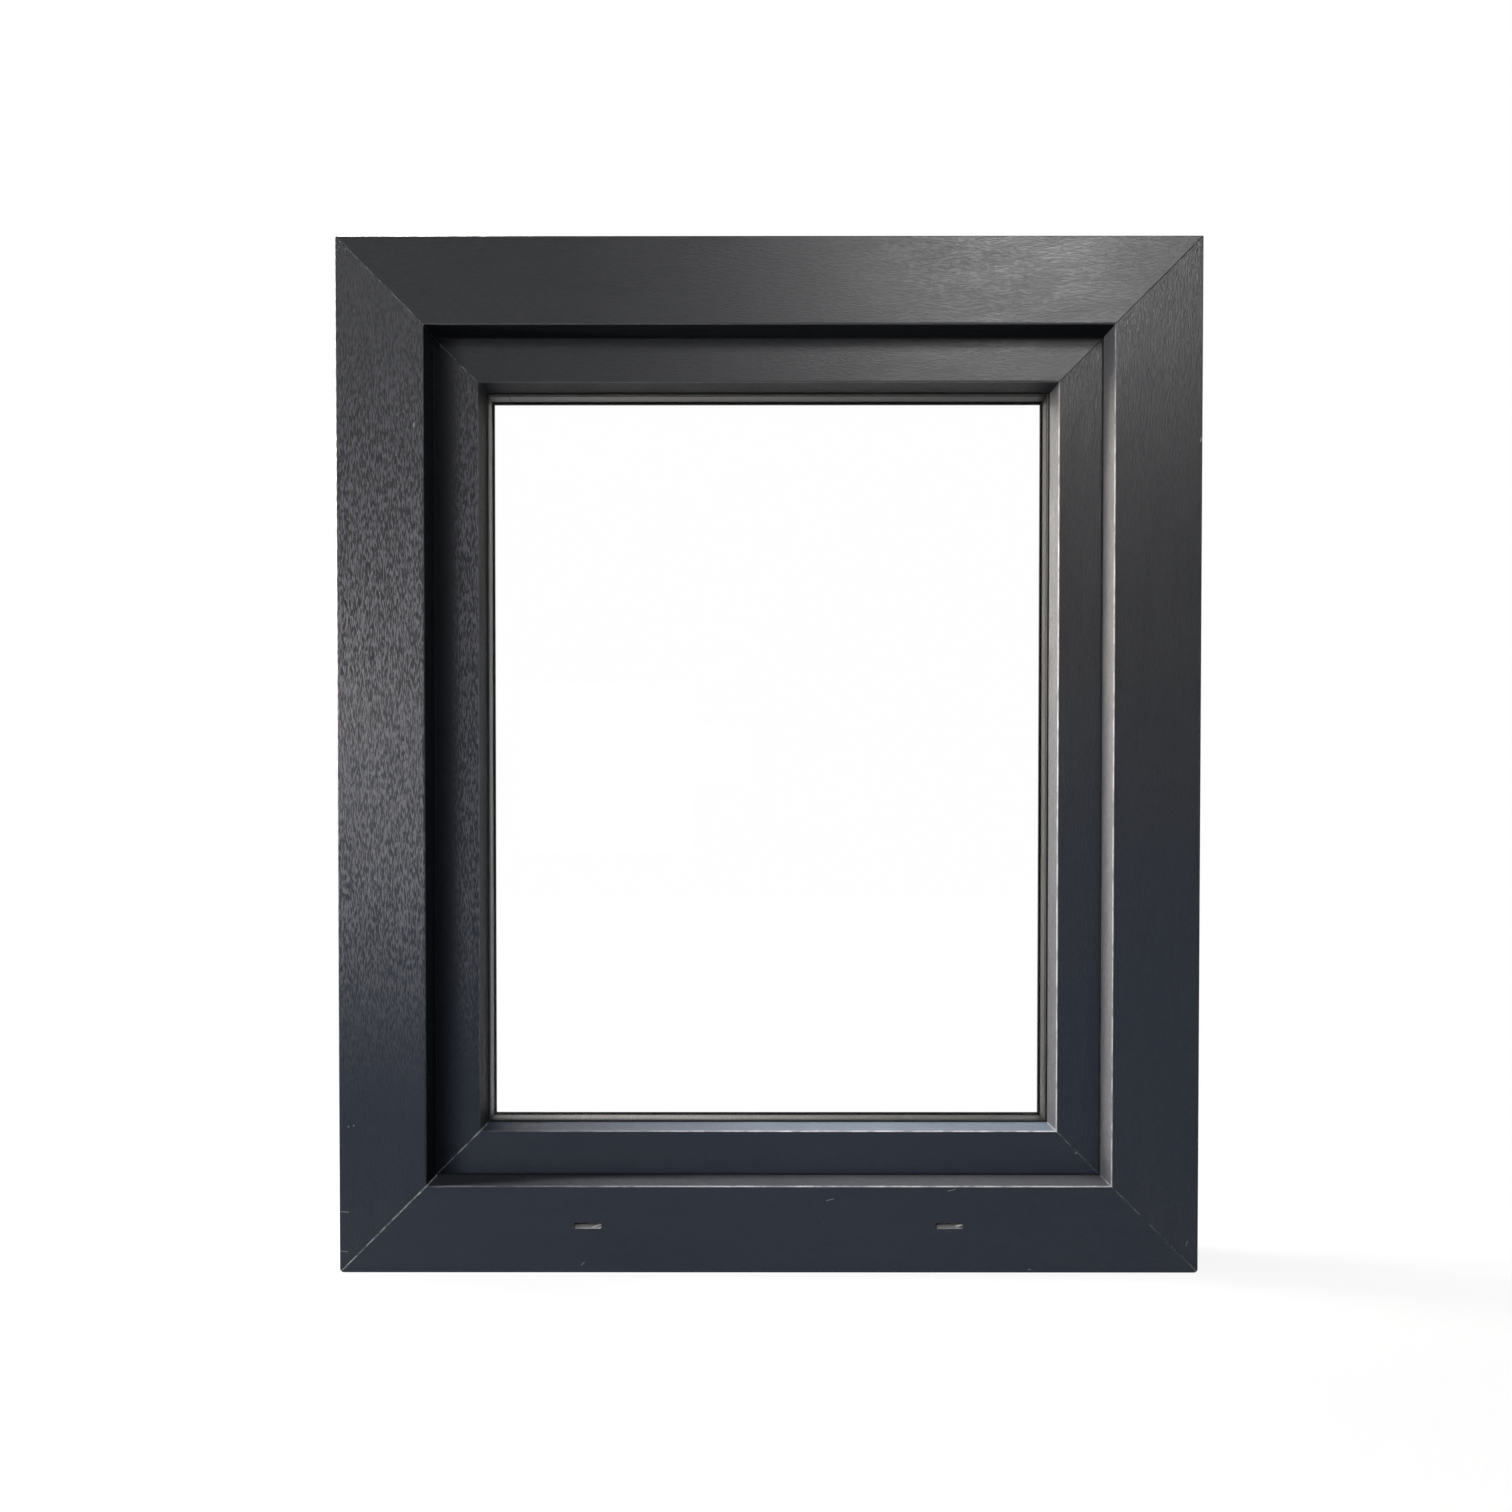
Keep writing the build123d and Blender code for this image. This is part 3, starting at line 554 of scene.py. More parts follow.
        # painted light on the right frame slope and on the bottom one, rising to the right
        bottom = lying * sketch.step(x, self.rubbed_run, (0.0, self.rubbed_bottom)) * (1.0 - high)
        return {
            "Slope": frame_slope | (sash_slope - mirror),
            "Shaded": black | (recess * beside),
            "Sky": mirror * front * sketch.step(x, self.sky_run),
            "Rubbed": frame_slope * ((upright * (x > 0.0)) | bottom),
        }

    def foil_warmth(self, sketch: Sketch, given: Values) -> Values:
        """Where the foil is warm and not cool, a painted light tint: high up, on the slopes, in
        part on the room side, as warm light from above and cool light from below would show.

        Args:
            sketch: Tree of the group.
            given: Its inputs by name.

        Returns:
            Its outputs by name.
        """
        _, y, z = sketch.split(given["Place"])
        lifted = z + sketch.noise(given["Place"], 5.0) * self.warm_wave
        rise = sketch.step(lifted - given["Foot"], self.warm_run)
        room = sketch.step(y, self.room_run)
        front = (rise | (given["Slope"] * given["Slope Share"])) * (1.0 - room)
        return {"Warm": front + room * given["Room Share"]}

    def mottle(self, sketch: Sketch, given: Values) -> Values:
        """Slow change of shade and a fine tooth, for metal, rubber and bare plastic.

        Args:
            sketch: Tree of the group.
            given: Its inputs by name.

        Returns:
            Its outputs by name.
        """
        place = sketch.vector("MULTIPLY", given["Place"], given["Stretch"])
        return {
            "Cloud": sketch.noise(place, given["Cloud Scale"], 3.0, 0.55),
            "Tooth": sketch.noise(place, given["Tooth Scale"], 2.0, 0.6),
        }


EFFECTS = Effects()


class Surface:
    """New material with a Principled BSDF and the object's own coordinates at hand."""

    def __init__(self, name: str) -> None:
        """Make the material.

        Args:
            name: Name of the material.
        """
        self.material = bpy.data.materials.new(name)
        self.material.use_nodes = True
        tree = self.material.node_tree
        tree.nodes.clear()
        self.sketch = Sketch(tree)
        self.shader = self.sketch.add("ShaderNodeBsdfPrincipled")
        self.output = self.sketch.add("ShaderNodeOutputMaterial")
        tree.links.new(self.shader.outputs[0], self.output.inputs[0])
        place = self.sketch.add("ShaderNodeTexCoord").outputs["Object"]
        self.place = Value(self.sketch, place)

    def set(self, **values: object) -> None:
        """Feed sockets of the shader by name, with spaces written as underscores."""
        for name, value in values.items():
            self.sketch.feed(self.shader.inputs[name.replace("_", " ")], rgba(value))

    def bump(self, height: Value, distance: float) -> None:
        """Raise the surface by a height value.

        Args:
            height: The height, about 0 to 1.
            distance: Height in metres of the value 1.
        """
        node = self.sketch.add("ShaderNodeBump")
        node.inputs["Distance"].default_value = distance
        self.sketch.feed(node.inputs["Height"], height)
        self.sketch.feed(self.shader.inputs["Normal"], node.outputs[0])

    def toothed(self, mottle: Values, roughness: float, above: float, tooth: float) -> None:
        """Roughness and bump of a fine tooth.

        Args:
            mottle: Outputs of the mottle effect.
            roughness: Middle roughness.
            above: How far the roughness rises above it.
            tooth: Height of the tooth in metres.
        """
        ends = (roughness - 0.05, roughness + above)
        self.set(Roughness=self.sketch.step(mottle["Tooth"], (0.2, 0.8), ends))
        self.bump(mottle["Tooth"], tooth)


# Finishes

@dataclass(frozen=True)
class Mark:
    """Small pale scratch or chip in the foil, in metres."""

    start: Point
    end: Point
    width: float


@dataclass(frozen=True)
class Foil:
    """Anthracite foil with a fine embossed grain over a white plastic core."""

    name: str
    # Foil colour: cool low down and warm high up, a painted light tint
    cool: Colour = (0.019, 0.028, 0.049)
    warm: Colour = (0.036, 0.036, 0.039)
    # Painted highlight on the left members' grain
    dust: Colour = (0.278, 0.275, 0.315)
    dust_share: float = 0.56
    # Painted glint on the slopes' front edges
    shine: Colour = (0.50, 0.50, 0.51)
    # Painted shade
    black: Colour = (0.003, 0.004, 0.006)
    # Painted sky reflection
    sky: Colour = (0.40, 0.47, 0.56)
    sky_share: float = 0.15
    # Painted light on the right and bottom frame slopes
    rubbed: Colour = (0.45, 0.44, 0.46)
    rubbed_share: float = 0.14
    pore: Colour = (0.018, 0.023, 0.034)
    pore_share: float = 0.35
    pore_rough: float = 0.06
    core: Colour = (0.84, 0.85, 0.84)
    # Darker copies of the white core: painted shade on the wall-side rim and in the chambers
    rim: Colour = (0.42, 0.43, 0.42)
    chamber: Colour = (0.64, 0.62, 0.60)
    pale: Colour = (0.30, 0.32, 0.34)
    speck_share: float = 0.35
    roughness: float = 0.42
    roughness_sway: float = 0.03
    gloss: float = 0.40
    relief: float = 0.00020
    level_relief: float = 0.27
    marks: tuple[Mark, ...] = ()
    bare_edges: bool = False

    def material(self) -> Material:
        """Build the finish.

        Returns:
            The material.
        """
        surface = Surface(self.name)
        sketch = surface.sketch
        known = {"Place": surface.place}
        for effect in (
            EFFECTS.member_place,
            EFFECTS.foil_grain,
            EFFECTS.slopes,
            EFFECTS.foil_warmth,
            EFFECTS.ridge_dust,
            EFFECTS.edge_shine,
            EFFECTS.weld_line,
        ):
            known |= EFFECTS.use(sketch, effect, known)
        lit = 1.0 - known["Shaded"]
        layers = (
            (known["Pores"] * self.pore_share, self.pore),
            # painted highlight on the grain
            (known["Dust"] * self.dust_share, self.dust),
            # painted shade
            (known["Shaded"], self.black),
            # painted sky reflection
            (known["Sky"] * self.sky_share, self.sky),
            # painted light on the slopes
            (known["Rubbed"] * self.rubbed_share, self.rubbed),
            # painted glint on the slope edges
            (known["Shine"], self.shine),
            # weld, in part a painted glint, left out where the painted shade lies
            (known["Weld"] * lit, self.core),
            (self.wear(sketch, surface.place), self.pale),
        )
        # foil colour with a painted light tint
        finish = sketch.mix(known["Warm"], self.cool, self.warm)
        for share, colour in layers:
            finish = sketch.mix(share, finish, colour)
        bare: object = 0.0
        if self.bare_edges:
            bare = self.bare_mask(known["Level"], known["Inward"])
            # painted shade: the bare core darker deep in the chambers and on the wall-side rim
            deep = known["Level"] > SIZES.cut_depth - SIZES.half_depth
            plastic = sketch.mix(deep, self.core, self.chamber)
            plastic = sketch.mix(known["Inward"] < SIZES.bare_rim, plastic, self.rim)
            finish = sketch.mix(bare, finish, plastic)
        ends = (self.roughness - self.roughness_sway, self.roughness + self.roughness_sway)
        rough = sketch.step(known["Patches"], (0.3, 0.7), ends) + known["Pores"] * self.pore_rough
        # painted shade also takes the gloss away
        surface.set(Base_Color=finish, Roughness=rough, Specular_IOR_Level=lit * self.gloss)
        across = known["Upright"] * (1.0 - self.level_relief) + self.level_relief
        covered = sketch.math("SUBTRACT", 1.0, bare)
        surface.bump(known["Height"] * across * covered, self.relief)
        return surface.material

    def wear(self, sketch: Sketch, place: Value) -> Value:
        """Where specks of dust and the named marks are pale.

        Args:
            sketch: Tree of the material.
            place: Place on the object.

        Returns:
            The share of the pale colour.
        """
        worn = EFFECTS.use(sketch, EFFECTS.specks, {"Place": place})["Mark"] * self.speck_share
        for mark in self.marks:
            known = {"Place": place, "Start": mark.start, "End": mark.end, "Width": mark.width}
            worn = worn | EFFECTS.use(sketch, EFFECTS.nick, known)["Mark"]
        return worn

    @staticmethod
    def bare_mask(level: Value, inward: Value) -> Value:
        """Where the white core shows: on the sides against the wall and inside the chambers.

        Args:
            level: Depth in the window.
            inward: How far in from the outer edge.

        Returns:
            The mask.
        """
        off = abs(level)
        front = level + SIZES.half_depth
        wall_side = (inward < SIZES.bare_rim) * (off < SIZES.half_depth - SIZES.foil_lap)
        inside = (front > SIZES.foil_edge) * (front < SIZES.flange_depth)
        between = (inward > SIZES.core_low) * (inward < SIZES.core_high)
        deep = off < SIZES.half_depth - SIZES.foil_edge
        deep = deep * (abs(inward - SIZES.deep_middle) < SIZES.deep_half)
        return wall_side | ((inside * between) | deep)


@dataclass(frozen=True)
class Plain:
    """Plastic, rubber, sealant or metal with a slow change of shade and a fine tooth."""

    name: str
    light: Colour
    dark: Colour
    roughness: float
    metallic: float = 0.0
    stretch: Point = (1.0, 1.0, 1.0)
    cloud_scale: float = 20.0
    tooth_scale: float = 900.0
    tooth: float = 0.00002
    gloss: float = 0.5

    def material(self) -> Material:
        """Build the finish.

        Returns:
            The material.
        """
        surface = Surface(self.name)
        known = {
            "Place": surface.place,
            "Stretch": self.stretch,
            "Cloud Scale": self.cloud_scale,
            "Tooth Scale": self.tooth_scale,
        }
        mottle = EFFECTS.use(surface.sketch, EFFECTS.mottle, known)
        share = surface.sketch.step(mottle["Cloud"], (0.3, 0.7))
        surface.toothed(mottle, self.roughness, 0.07, self.tooth)
        surface.set(
            Base_Color=surface.sketch.mix(share, self.dark, self.light),
            Metallic=self.metallic,
            Specular_IOR_Level=self.gloss,
        )
        return surface.material


@dataclass(frozen=True)
class SpacerFinish:
    """Mill-finished aluminium with drawing lines along the bar and dark joints near the corners,
    with painted shade on the right side.
    """

    name: str = "spacer_metal"
    light: Colour = (0.088, 0.085, 0.081)
    dark: Colour = (0.060, 0.058, 0.055)
    # Painted shade on the right side
    dull: Colour = (0.013, 0.013, 0.012)
    dull_run: Span = (-0.20, 0.22)
    joint: Colour = (0.007, 0.007, 0.006)
    joint_place: float = 0.0165
    joint_half: float = 0.0005
    drawn_share: float = 0.02
    cloud_scale: float = 260.0
    tooth_scale: float = 2600.0
    roughness: float = 0.5
    metallic: float = 0.2
    gloss: float = 0.15
    tooth: float = 0.00001

    def material(self) -> Material:
        """Build the finish.

        Returns:
            The material.
        """
        surface = Surface(self.name)
        sketch = surface.sketch
        member = EFFECTS.use(sketch, EFFECTS.member_place, {"Place": surface.place})
        drawn = sketch.combine(
            member["Inward"], member["Level"], member["Along"] * self.drawn_share
        )
        known = {"Place": drawn, "Cloud Scale": self.cloud_scale, "Tooth Scale": self.tooth_scale}
        mottle = EFFECTS.use(sketch, EFFECTS.mottle, known)
        colour = sketch.mix(sketch.step(mottle["Cloud"], (0.35, 0.65)), self.dark, self.light)
        # painted shade on the right side
        right = sketch.step(sketch.split(surface.place)[0], self.dull_run)
        colour = sketch.mix(right, colour, self.dull)
        joint = abs(member["Mitre"] - self.joint_place) < self.joint_half
        corner = member["Mitre"] < self.joint_half
        surface.toothed(mottle, self.roughness, 0.08, self.tooth)
        surface.set(
            Base_Color=sketch.mix(joint | corner, colour, self.joint),
            Metallic=self.metallic,
            Specular_IOR_Level=self.gloss,
        )
        return surface.material


@dataclass(frozen=True)
class ClearGlass:
    """Clear float glass with a faint green in its body."""

    name: str = "clear_glass"
    tint: Colour = (0.997, 1.0, 0.998)
    index: float = 1.16
    shadow_share: float = 0.92

    def material(self) -> Material:
        """Build the finish.

        Returns:
            The material.
        """
        surface = Surface(self.name)
        sketch = surface.sketch
        film = sketch.noise(surface.place, 14.0, 3.0, 0.6)
        shadow = Value(sketch, sketch.add("ShaderNodeLightPath").outputs["Is Shadow Ray"])
        surface.set(
            Base_Color=sketch.mix(sketch.step(film, (0.3, 0.7)), self.tint, WHITE),
            Roughness=0.0,
            IOR=self.index,
            Transmission_Weight=1.0,
            Alpha=1.0 - shadow * self.shadow_share,
        )
        return surface.material


# Meshes

def place_piece(name: str, mesh: bpy.types.Mesh) -> Piece:
    """Put a mesh in the scene as an object at the origin.

    Args:
        name: Name of the object.
        mesh: Its mesh.

    Returns:
        The object.
    """
    piece = bpy.data.objects.new(name, mesh)
    bpy.context.scene.collection.objects.link(piece)
    return piece


def finish_mesh(name: str, work: bmesh.types.BMesh, material: Material) -> Piece:
    """Turn a working mesh into a finished object at the origin.

    Args:
        name: Name of the piece.
        work: Working mesh in the shared frame, in metres.
        material: Its finish.

    Returns:
        The object.
    """
    bmesh.ops.recalc_face_normals(work, faces=work.faces)
    mesh = bpy.data.meshes.new(name)
    work.to_mesh(mesh)
    work.free()
    mesh.materials.append(material)
    return place_piece(name, mesh)


def settle(piece: Piece) -> None:
    """Ride a piece on the window and report it.

    Args:
        piece: Finished object.
    """
    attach(piece, "root")
    LOG.info("%s: %d faces", piece.name, len(piece.data.polygons))


class ShapeTree:
    """Geometry node tree with named sizes, whose result becomes a plain mesh."""

    def __init__(self, name: str, sizes: dict[str, float | int]) -> None:
        """Start the tree.

        Args:
            name: Name of the tree and of the piece it makes.
            sizes: Its named inputs with their values; whole numbers make counts.
        """
        self.name = name
        self.sizes = sizes
        self.tree = bpy.data.node_groups.new(name, "GeometryNodeTree")
        self.sketch = Sketch(self.tree)
        self.sockets: dict[str, str] = {}
        new_socket = self.tree.interface.new_socket
        for label, value in sizes.items():
            kind = "NodeSocketInt" if isinstance(value, int) else "NodeSocketFloat"
            self.sockets[label] = new_socket(label, in_out="INPUT", socket_type=kind).identifier
        new_socket("Geometry", in_out="OUTPUT", socket_type="NodeSocketGeometry")
        self.given = self.sketch.add("NodeGroupInput").outputs

    def node(self, kind: str, feeds: dict[str, object], **values: object) -> Socket:
        """Add one geometry node and feed it.

        Args:
            kind: Blender's type name of the node without its first part.
            feeds: Sources by the name of the input.
            values: Properties of the node.

        Returns:
            Its first output.
        """
        node = self.sketch.add(f"GeometryNode{kind}", **values)
        for label, source in feeds.items():
            self.sketch.feed(node.inputs[label], source)
        return node.outputs[0]

    def moved(self, geometry: Socket, place: Point, turn: Point = ORIGIN) -> Socket:
        """Turn a shape and move it."""
        feeds = {"Geometry": geometry, "Translation": place, "Rotation": turn}
        return self.node("Transform", feeds)

    def random(self, low: Point, high: Point, seed: int) -> Socket:
        """Random vector of each point between two corners, the same on each run.

        Args:
            low: First corner.
            high: Second corner.
            seed: Seed of the draw.

        Returns:
            The vectors.
        """
        node = self.sketch.add("FunctionNodeRandomValue", data_type="FLOAT_VECTOR")
        for socket, source in ((0, low), (1, high), ("Seed", seed)):
            self.sketch.feed(node.inputs[socket], source)
        return node.outputs[0]

    def grow(self, parts: list[Socket], finish: "Plain") -> None:
        """Make the plain piece, at the origin and with real faces, and settle it.

        Args:
            parts: Shapes of the tree.
            finish: Finish of the piece.
        """
        joined = self.sketch.add("GeometryNodeJoinGeometry")
        for part in parts:
            self.tree.links.new(part, joined.inputs[0])
        real = self.node("RealizeInstances", {"Geometry": joined.outputs[0]})
        dressed = self.node("SetMaterial", {"Geometry": real, "Material": finish.material()})
        self.sketch.feed(self.sketch.add("NodeGroupOutput").inputs[0], dressed)
        label = f"{self.name}_carrier"
        carrier = place_piece(label, bpy.data.meshes.new(label))
        modifier = carrier.modifiers.new("shape", "NODES")
        modifier.node_group = self.tree
        for label, value in self.sizes.items():
            modifier[self.sockets[label]] = value
        graph = bpy.context.evaluated_depsgraph_get()
        mesh = bpy.data.meshes.new_from_object(carrier.evaluated_get(graph))
        carrier.modifiers.remove(modifier)
        bpy.data.objects.remove(carrier)
        settle(place_piece(self.name, mesh))


# Sub-assemblies

@dataclass
class DressedNodes:
    """Solids of a sub-assembly, listed with their finishes."""

    finishes: tuple[tuple[object, tuple[str, ...]], ...]

    def dress(self) -> None:
        """Give the solids their finishes."""
        for finish, names in self.finishes:
            material = finish.material()
            for name in names:
                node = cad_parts[name]
                node.data.materials.clear()
                node.data.materials.append(material)
                LOG.info("%s wears %s", name, material.name)


# Marks in the foil, where the photograph shows them: both ends and width, in millimetres
FRAME_MARKS = (
    ((-287.2, -35.0, 687.0), (-286.8, -35.0, 689.6), 0.9),
    ((348.4, -35.0, 675.0), (349.0, -35.0, 678.0), 0.6),
    ((-348.6, -35.0, 49.9), (-342.6, -35.0, 49.5), 0.5),
    ((-348.6, -35.0, 17.5), (-343.4, -35.0, 17.1), 0.5),
    ((-342.4, -35.0, 119.3), (-342.0, -35.0, 119.7), 0.7),
    ((-338.2, -35.0, 120.2), (-337.9, -35.0, 120.5), 0.7),
    ((-153.0, -35.0, 6.2), (-150.2, -35.0, 8.6), 0.35),
    ((-134.5, -35.0, 71.0), (-131.0, -35.0, 70.4), 0.5),
    ((-118.0, -35.0, 70.2), (-115.5, -35.0, 71.0), 0.5),
    ((-106.0, -35.0, 71.2), (-104.0, -35.0, 70.3), 0.5),
    ((47.0, -35.0, 59.0), (53.0, -35.0, 60.6), 0.3),
    ((146.0, -35.0, 66.8), (152.0, -35.0, 68.6), 0.3),
    ((340.0, -35.0, 22.0), (341.5, -35.0, 26.0), 0.35),
    ((212.0, -35.0, 2.8), (213.5, -35.0, 2.8), 0.6),
    ((269.2, -31.0, 289.5), (269.2, -31.0, 290.4), 0.8),
    ((269.4, -31.0, 115.5), (269.4, -31.0, 116.6), 0.9),
    ((-272.5, -25.0, 91.0), (-272.5, -24.0, 92.0), 0.6),
)
SASH_MARKS = (
    ((-165.5, -13.0, 764.4), (-165.1, -13.0, 765.0), 0.7),
    ((255.0, -13.0, 93.0), (256.0, -13.0, 93.6), 0.6),
)


def marks_of(listed: tuple) -> tuple[Mark, ...]:
    """Turn marks listed in millimetres into marks in metres.

    Args:
        listed: Both ends and the width of each mark.

    Returns:
        The marks.
    """
    return tuple(
        Mark(*(tuple(value * MM for value in end) for end in ends), width * MM)
        for *ends, width in listed
    )


@dataclass
class FoiledProfiles(DressedNodes):
    """Outer frame, sash and glazing beads with their foil."""

    finishes: tuple = (
        (
            Foil("foil_frame", marks=marks_of(FRAME_MARKS), bare_edges=True),
            ("frame_sill", "frame_head", "frame_jamb_left", "frame_jamb_right"),
        ),
        (
            Foil("foil_sash", marks=marks_of(SASH_MARKS)),
            ("sash_bottom_rail", "sash_top_rail", "sash_stile_left", "sash_stile_right"),
        ),
        (Foil("foil_bead"), tuple(f"glazing_bead_{side.value}" for side in Side)),
    )


@dataclass
class GlassUnit(DressedNodes):
    """Two panes with their spacer, edge seal and setting blocks."""

    finishes: tuple = (
        (ClearGlass(), ("glass_outer_pane", "glass_inner_pane")),
        (SpacerFinish(), ("glass_spacer",)),
        (
            Plain("edge_sealant", grey(0.02), grey(0.012), 0.6),
            ("glass_edge_seal",),
        ),
        (Plain("block_plastic", (0.05, 0.12, 0.30), (0.04, 0.10, 0.26), 0.5), ("setting_blocks",)),
    )


@dataclass
class Gaskets(DressedNodes):
    """Black rubber lips against the glass and between frame and sash."""

    finishes: tuple = (
        (
            Plain("black_rubber", grey(0.006), grey(0.003), 0.6, gloss=0.3),
            ("frame_gasket", "overlap_gasket", "glazing_gasket_outer", "glazing_gasket_inner"),
        ),
    )


def metal(name: str, light: Colour, dark: Colour, roughness: float, **values: object) -> Plain:
    """Plain finish of a bare metal."""
    return Plain(name, light, dark, roughness, **{"metallic": 1.0, **values})


@dataclass
class Hardware(DressedNodes):
    """Steel inside the profiles, lock, hinges and handle."""

    finishes: tuple = (
        (
            metal("steel_bar", (0.45, 0.46, 0.47), (0.36, 0.37, 0.38), 0.45, cloud_scale=60.0),
            ("frame_reinforcement", "sash_reinforcement"),
        ),
        (
            metal("lock_steel", (0.55, 0.55, 0.53), (0.46, 0.46, 0.45), 0.35, cloud_scale=80.0),
            (*(f"lock_rail_{side.value}" for side in Side), "lock_gearbox", "lock_strikers"),
        ),
        (
            metal(
                "handle_metal",
                (0.44, 0.44, 0.43),
                (0.38, 0.38, 0.37),
                0.34,
                stretch=(6.0, 6.0, 0.4),
            ),
            ("handle_rosette", "handle_lever"),
        ),
        (
            metal("pin_steel", grey(0.55), grey(0.47), 0.3),
            ("handle_spindle", "hinge_lower_pin", "hinge_upper_pin"),
        ),
        (
            metal("hinge_metal", grey(0.30), grey(0.25), 0.4, metallic=0.8),
            ("hinge_lower_bracket", "hinge_lower_arm", "hinge_upper_bracket", "hinge_upper_arm"),
        ),
    )


@dataclass
class SpacerPerforations:
    """Two rows of small holes along the inward face of the spacer bar, as dark discs: painted shade
    for the holes' insides.
    """

    pitch: float = 0.004
    row_gap: float = 0.0075
    radius: float = 0.00045
    depth: float = 0.0003
    proud: float = 0.00005
    corner_gap: float = 0.030

    def build(self) -> None:
        """Make the holes on all four sides."""
        inner = SIZES.spacer_edge + SIZES.spacer_height
        across = (SIZES.cavity_front + SIZES.cavity_back) / 2
        reach = inner + self.proud - self.depth / 2
        sizes = {"Row Gap": self.row_gap, "Hole Radius": self.radius, "Hole Depth": self.depth}
        for way, outer in (("Level", SIZES.width), ("Upright", SIZES.height)):
            count = int((outer - 2 * (inner + self.corner_gap)) / self.pitch)
            sizes |= {f"{way} Length": count * self.pitch, f"{way} Count": count + 1}
        tree = ShapeTree("spacer_perforations", sizes)
        given = tree.given
        feeds = {"Vertices": 6, "Radius": given["Hole Radius"], "Depth": given["Hole Depth"]}
        hole = tree.node("MeshCylinder", feeds)
        left = reach - SIZES.width / 2
        places = {
            Side.BOTTOM: ("Level", (0.0, across, reach), 0.0),
            Side.TOP: ("Level", (0.0, across, SIZES.height - reach), math.pi),
            Side.LEFT: ("Upright", (left, across, SIZES.middle), math.pi / 2),
            Side.RIGHT: ("Upright", (-left, across, SIZES.middle), -math.pi / 2),
        }
        sides = []
        for way, place, turn in places.values():
            feeds = {
                "Size X": given[f"{way} Length"],
                "Size Y": given["Row Gap"],
                "Vertices X": given[f"{way} Count"],
                "Vertices Y": 2,
            }
            rows = tree.node("MeshGrid", feeds)
            holes = tree.node("InstanceOnPoints", {"Points": rows, "Instance": hole})
            sides.append(tree.moved(holes, place, (0.0, turn, 0.0)))
        # dark discs: painted shade for the holes' insides
        dark = Plain("spacer_hole", grey(0.006), grey(0.003), 0.8)
        tree.grow(sides, dark)


@dataclass
class HingeScrews:
    """Countersunk cross-head screws in the hinge plates."""

    head_radius: float = 0.0036
    head_height: float = 0.0012
    proud: float = 0.0004
    cross_width: float = 0.0009
    cross_length: float = 0.0042
    bracket_inset: float = 0.0060
    bracket_pitch: float = 0.0210
    arm_inset: float = 0.009

    def head(self, tree: ShapeTree) -> Socket:
        """One screw head that faces the room, with its cross cut out.

        Args:
            tree: Tree that makes the screws.

        Returns:
            The head.
        """
        radius, depth = tree.given["Head Radius"], tree.given["Head Height"]
        disc = tree.node("MeshCylinder", {"Vertices": 16, "Radius": radius, "Depth": depth})
        length, width, height = self.cross_length, self.cross_width, self.head_height
        bars = [
            tree.node("MeshCube", {"Size": size})
            for size in ((length, width, height), (width, length, height))
        ]
        cross = tree.node("MeshBoolean", {"Mesh 2": bars[0]}, operation="UNION")
        tree.tree.links.new(bars[1], cross.node.inputs["Mesh 2"])
        lifted = tree.moved(cross, (0.0, 0.0, height / 2))
        cut = tree.node("MeshBoolean", {"Mesh 1": disc, "Mesh 2": lifted}, operation="DIFFERENCE")
        return tree.moved(cut, ORIGIN, (-math.pi / 2, 0.0, 0.0))

    def places(self) -> list[Point]:
        """Centres of the heads: three on each bracket, and two on each arm.

        Returns:
            The centres.
        """
        sunk = self.proud - self.head_height / 2
        bracket_level = SIZES.half_depth + SIZES.bracket_plate + sunk
        arm_level = SIZES.sash_back + SIZES.arm_plate + sunk
        centres: list[Point] = []
        for hinge in ("lower", "upper"):
            low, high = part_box(f"hinge_{hinge}_bracket")
            middle = (low.z + high.z) / 2
            for step in (-1, 0, 1):
                height = middle + step * self.bracket_pitch
                centres.append((high.x - self.bracket_inset, bracket_level, height))
        for hinge in ("lower", "upper"):
            low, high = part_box(f"hinge_{hinge}_arm")
            for height in (low.z + self.arm_inset, high.z - self.arm_inset):
                centres.append((low.x + self.arm_inset, arm_level, height))
        return centres

    def build(self) -> None:
        """Make the screws of the brackets and the arms."""
        sizes = {"Head Radius": self.head_radius, "Head Height": self.head_height}
        tree = ShapeTree("hinge_screws", sizes)
        head = self.head(tree)
        heads = [tree.moved(head, centre) for centre in self.places()]
        light, dark = (0.60, 0.60, 0.58), (0.50, 0.50, 0.49)
        bright = metal("screw_steel", light, dark, 0.28, cloud_scale=300.0)
        tree.grow(heads, bright)


@dataclass
class PaleCrumbs:
    """Small crumbs of the white core, scattered along short lines."""

    name: str
    runs: tuple[tuple[Point, Point], ...]
    spread: Point
    crumb: float
    count: int
    light: Colour
    dark: Colour
    seed: int
    least: Point = (0.4, 0.4, 0.3)
    most: Point = (1.5, 1.3, 1.0)

    def build(self) -> None:
        """Make the crumbs along every line."""
        tree = ShapeTree(self.name, {"Crumb": self.crumb, "Count": self.count})
        given = tree.given
        bit = tree.node("MeshIcoSphere", {"Radius": given["Crumb"], "Subdivisions": 1})
        back = tuple(-value for value in self.spread)
        lines = []
        for index, (start, end) in enumerate(self.runs):
            step = tuple((b - a) / (self.count - 1) for a, b in zip(start, end))
            feeds = {"Count": given["Count"], "Start Location": start, "Offset": step}
            line = tree.node("MeshLine", feeds)
            jitter = tree.random(back, self.spread, self.seed + index)
            moved = tree.node("SetPosition", {"Geometry": line, "Offset": jitter})
            grain = tree.random(self.least, self.most, self.seed + 7 * index)
            feeds = {"Points": moved, "Instance": bit, "Scale": grain}
            lines.append(tree.node("InstanceOnPoints", feeds))
        pale = Plain(f"{self.name}_plastic", self.light, self.dark, 0.55, cloud_scale=900.0)
        tree.grow(lines, pale)


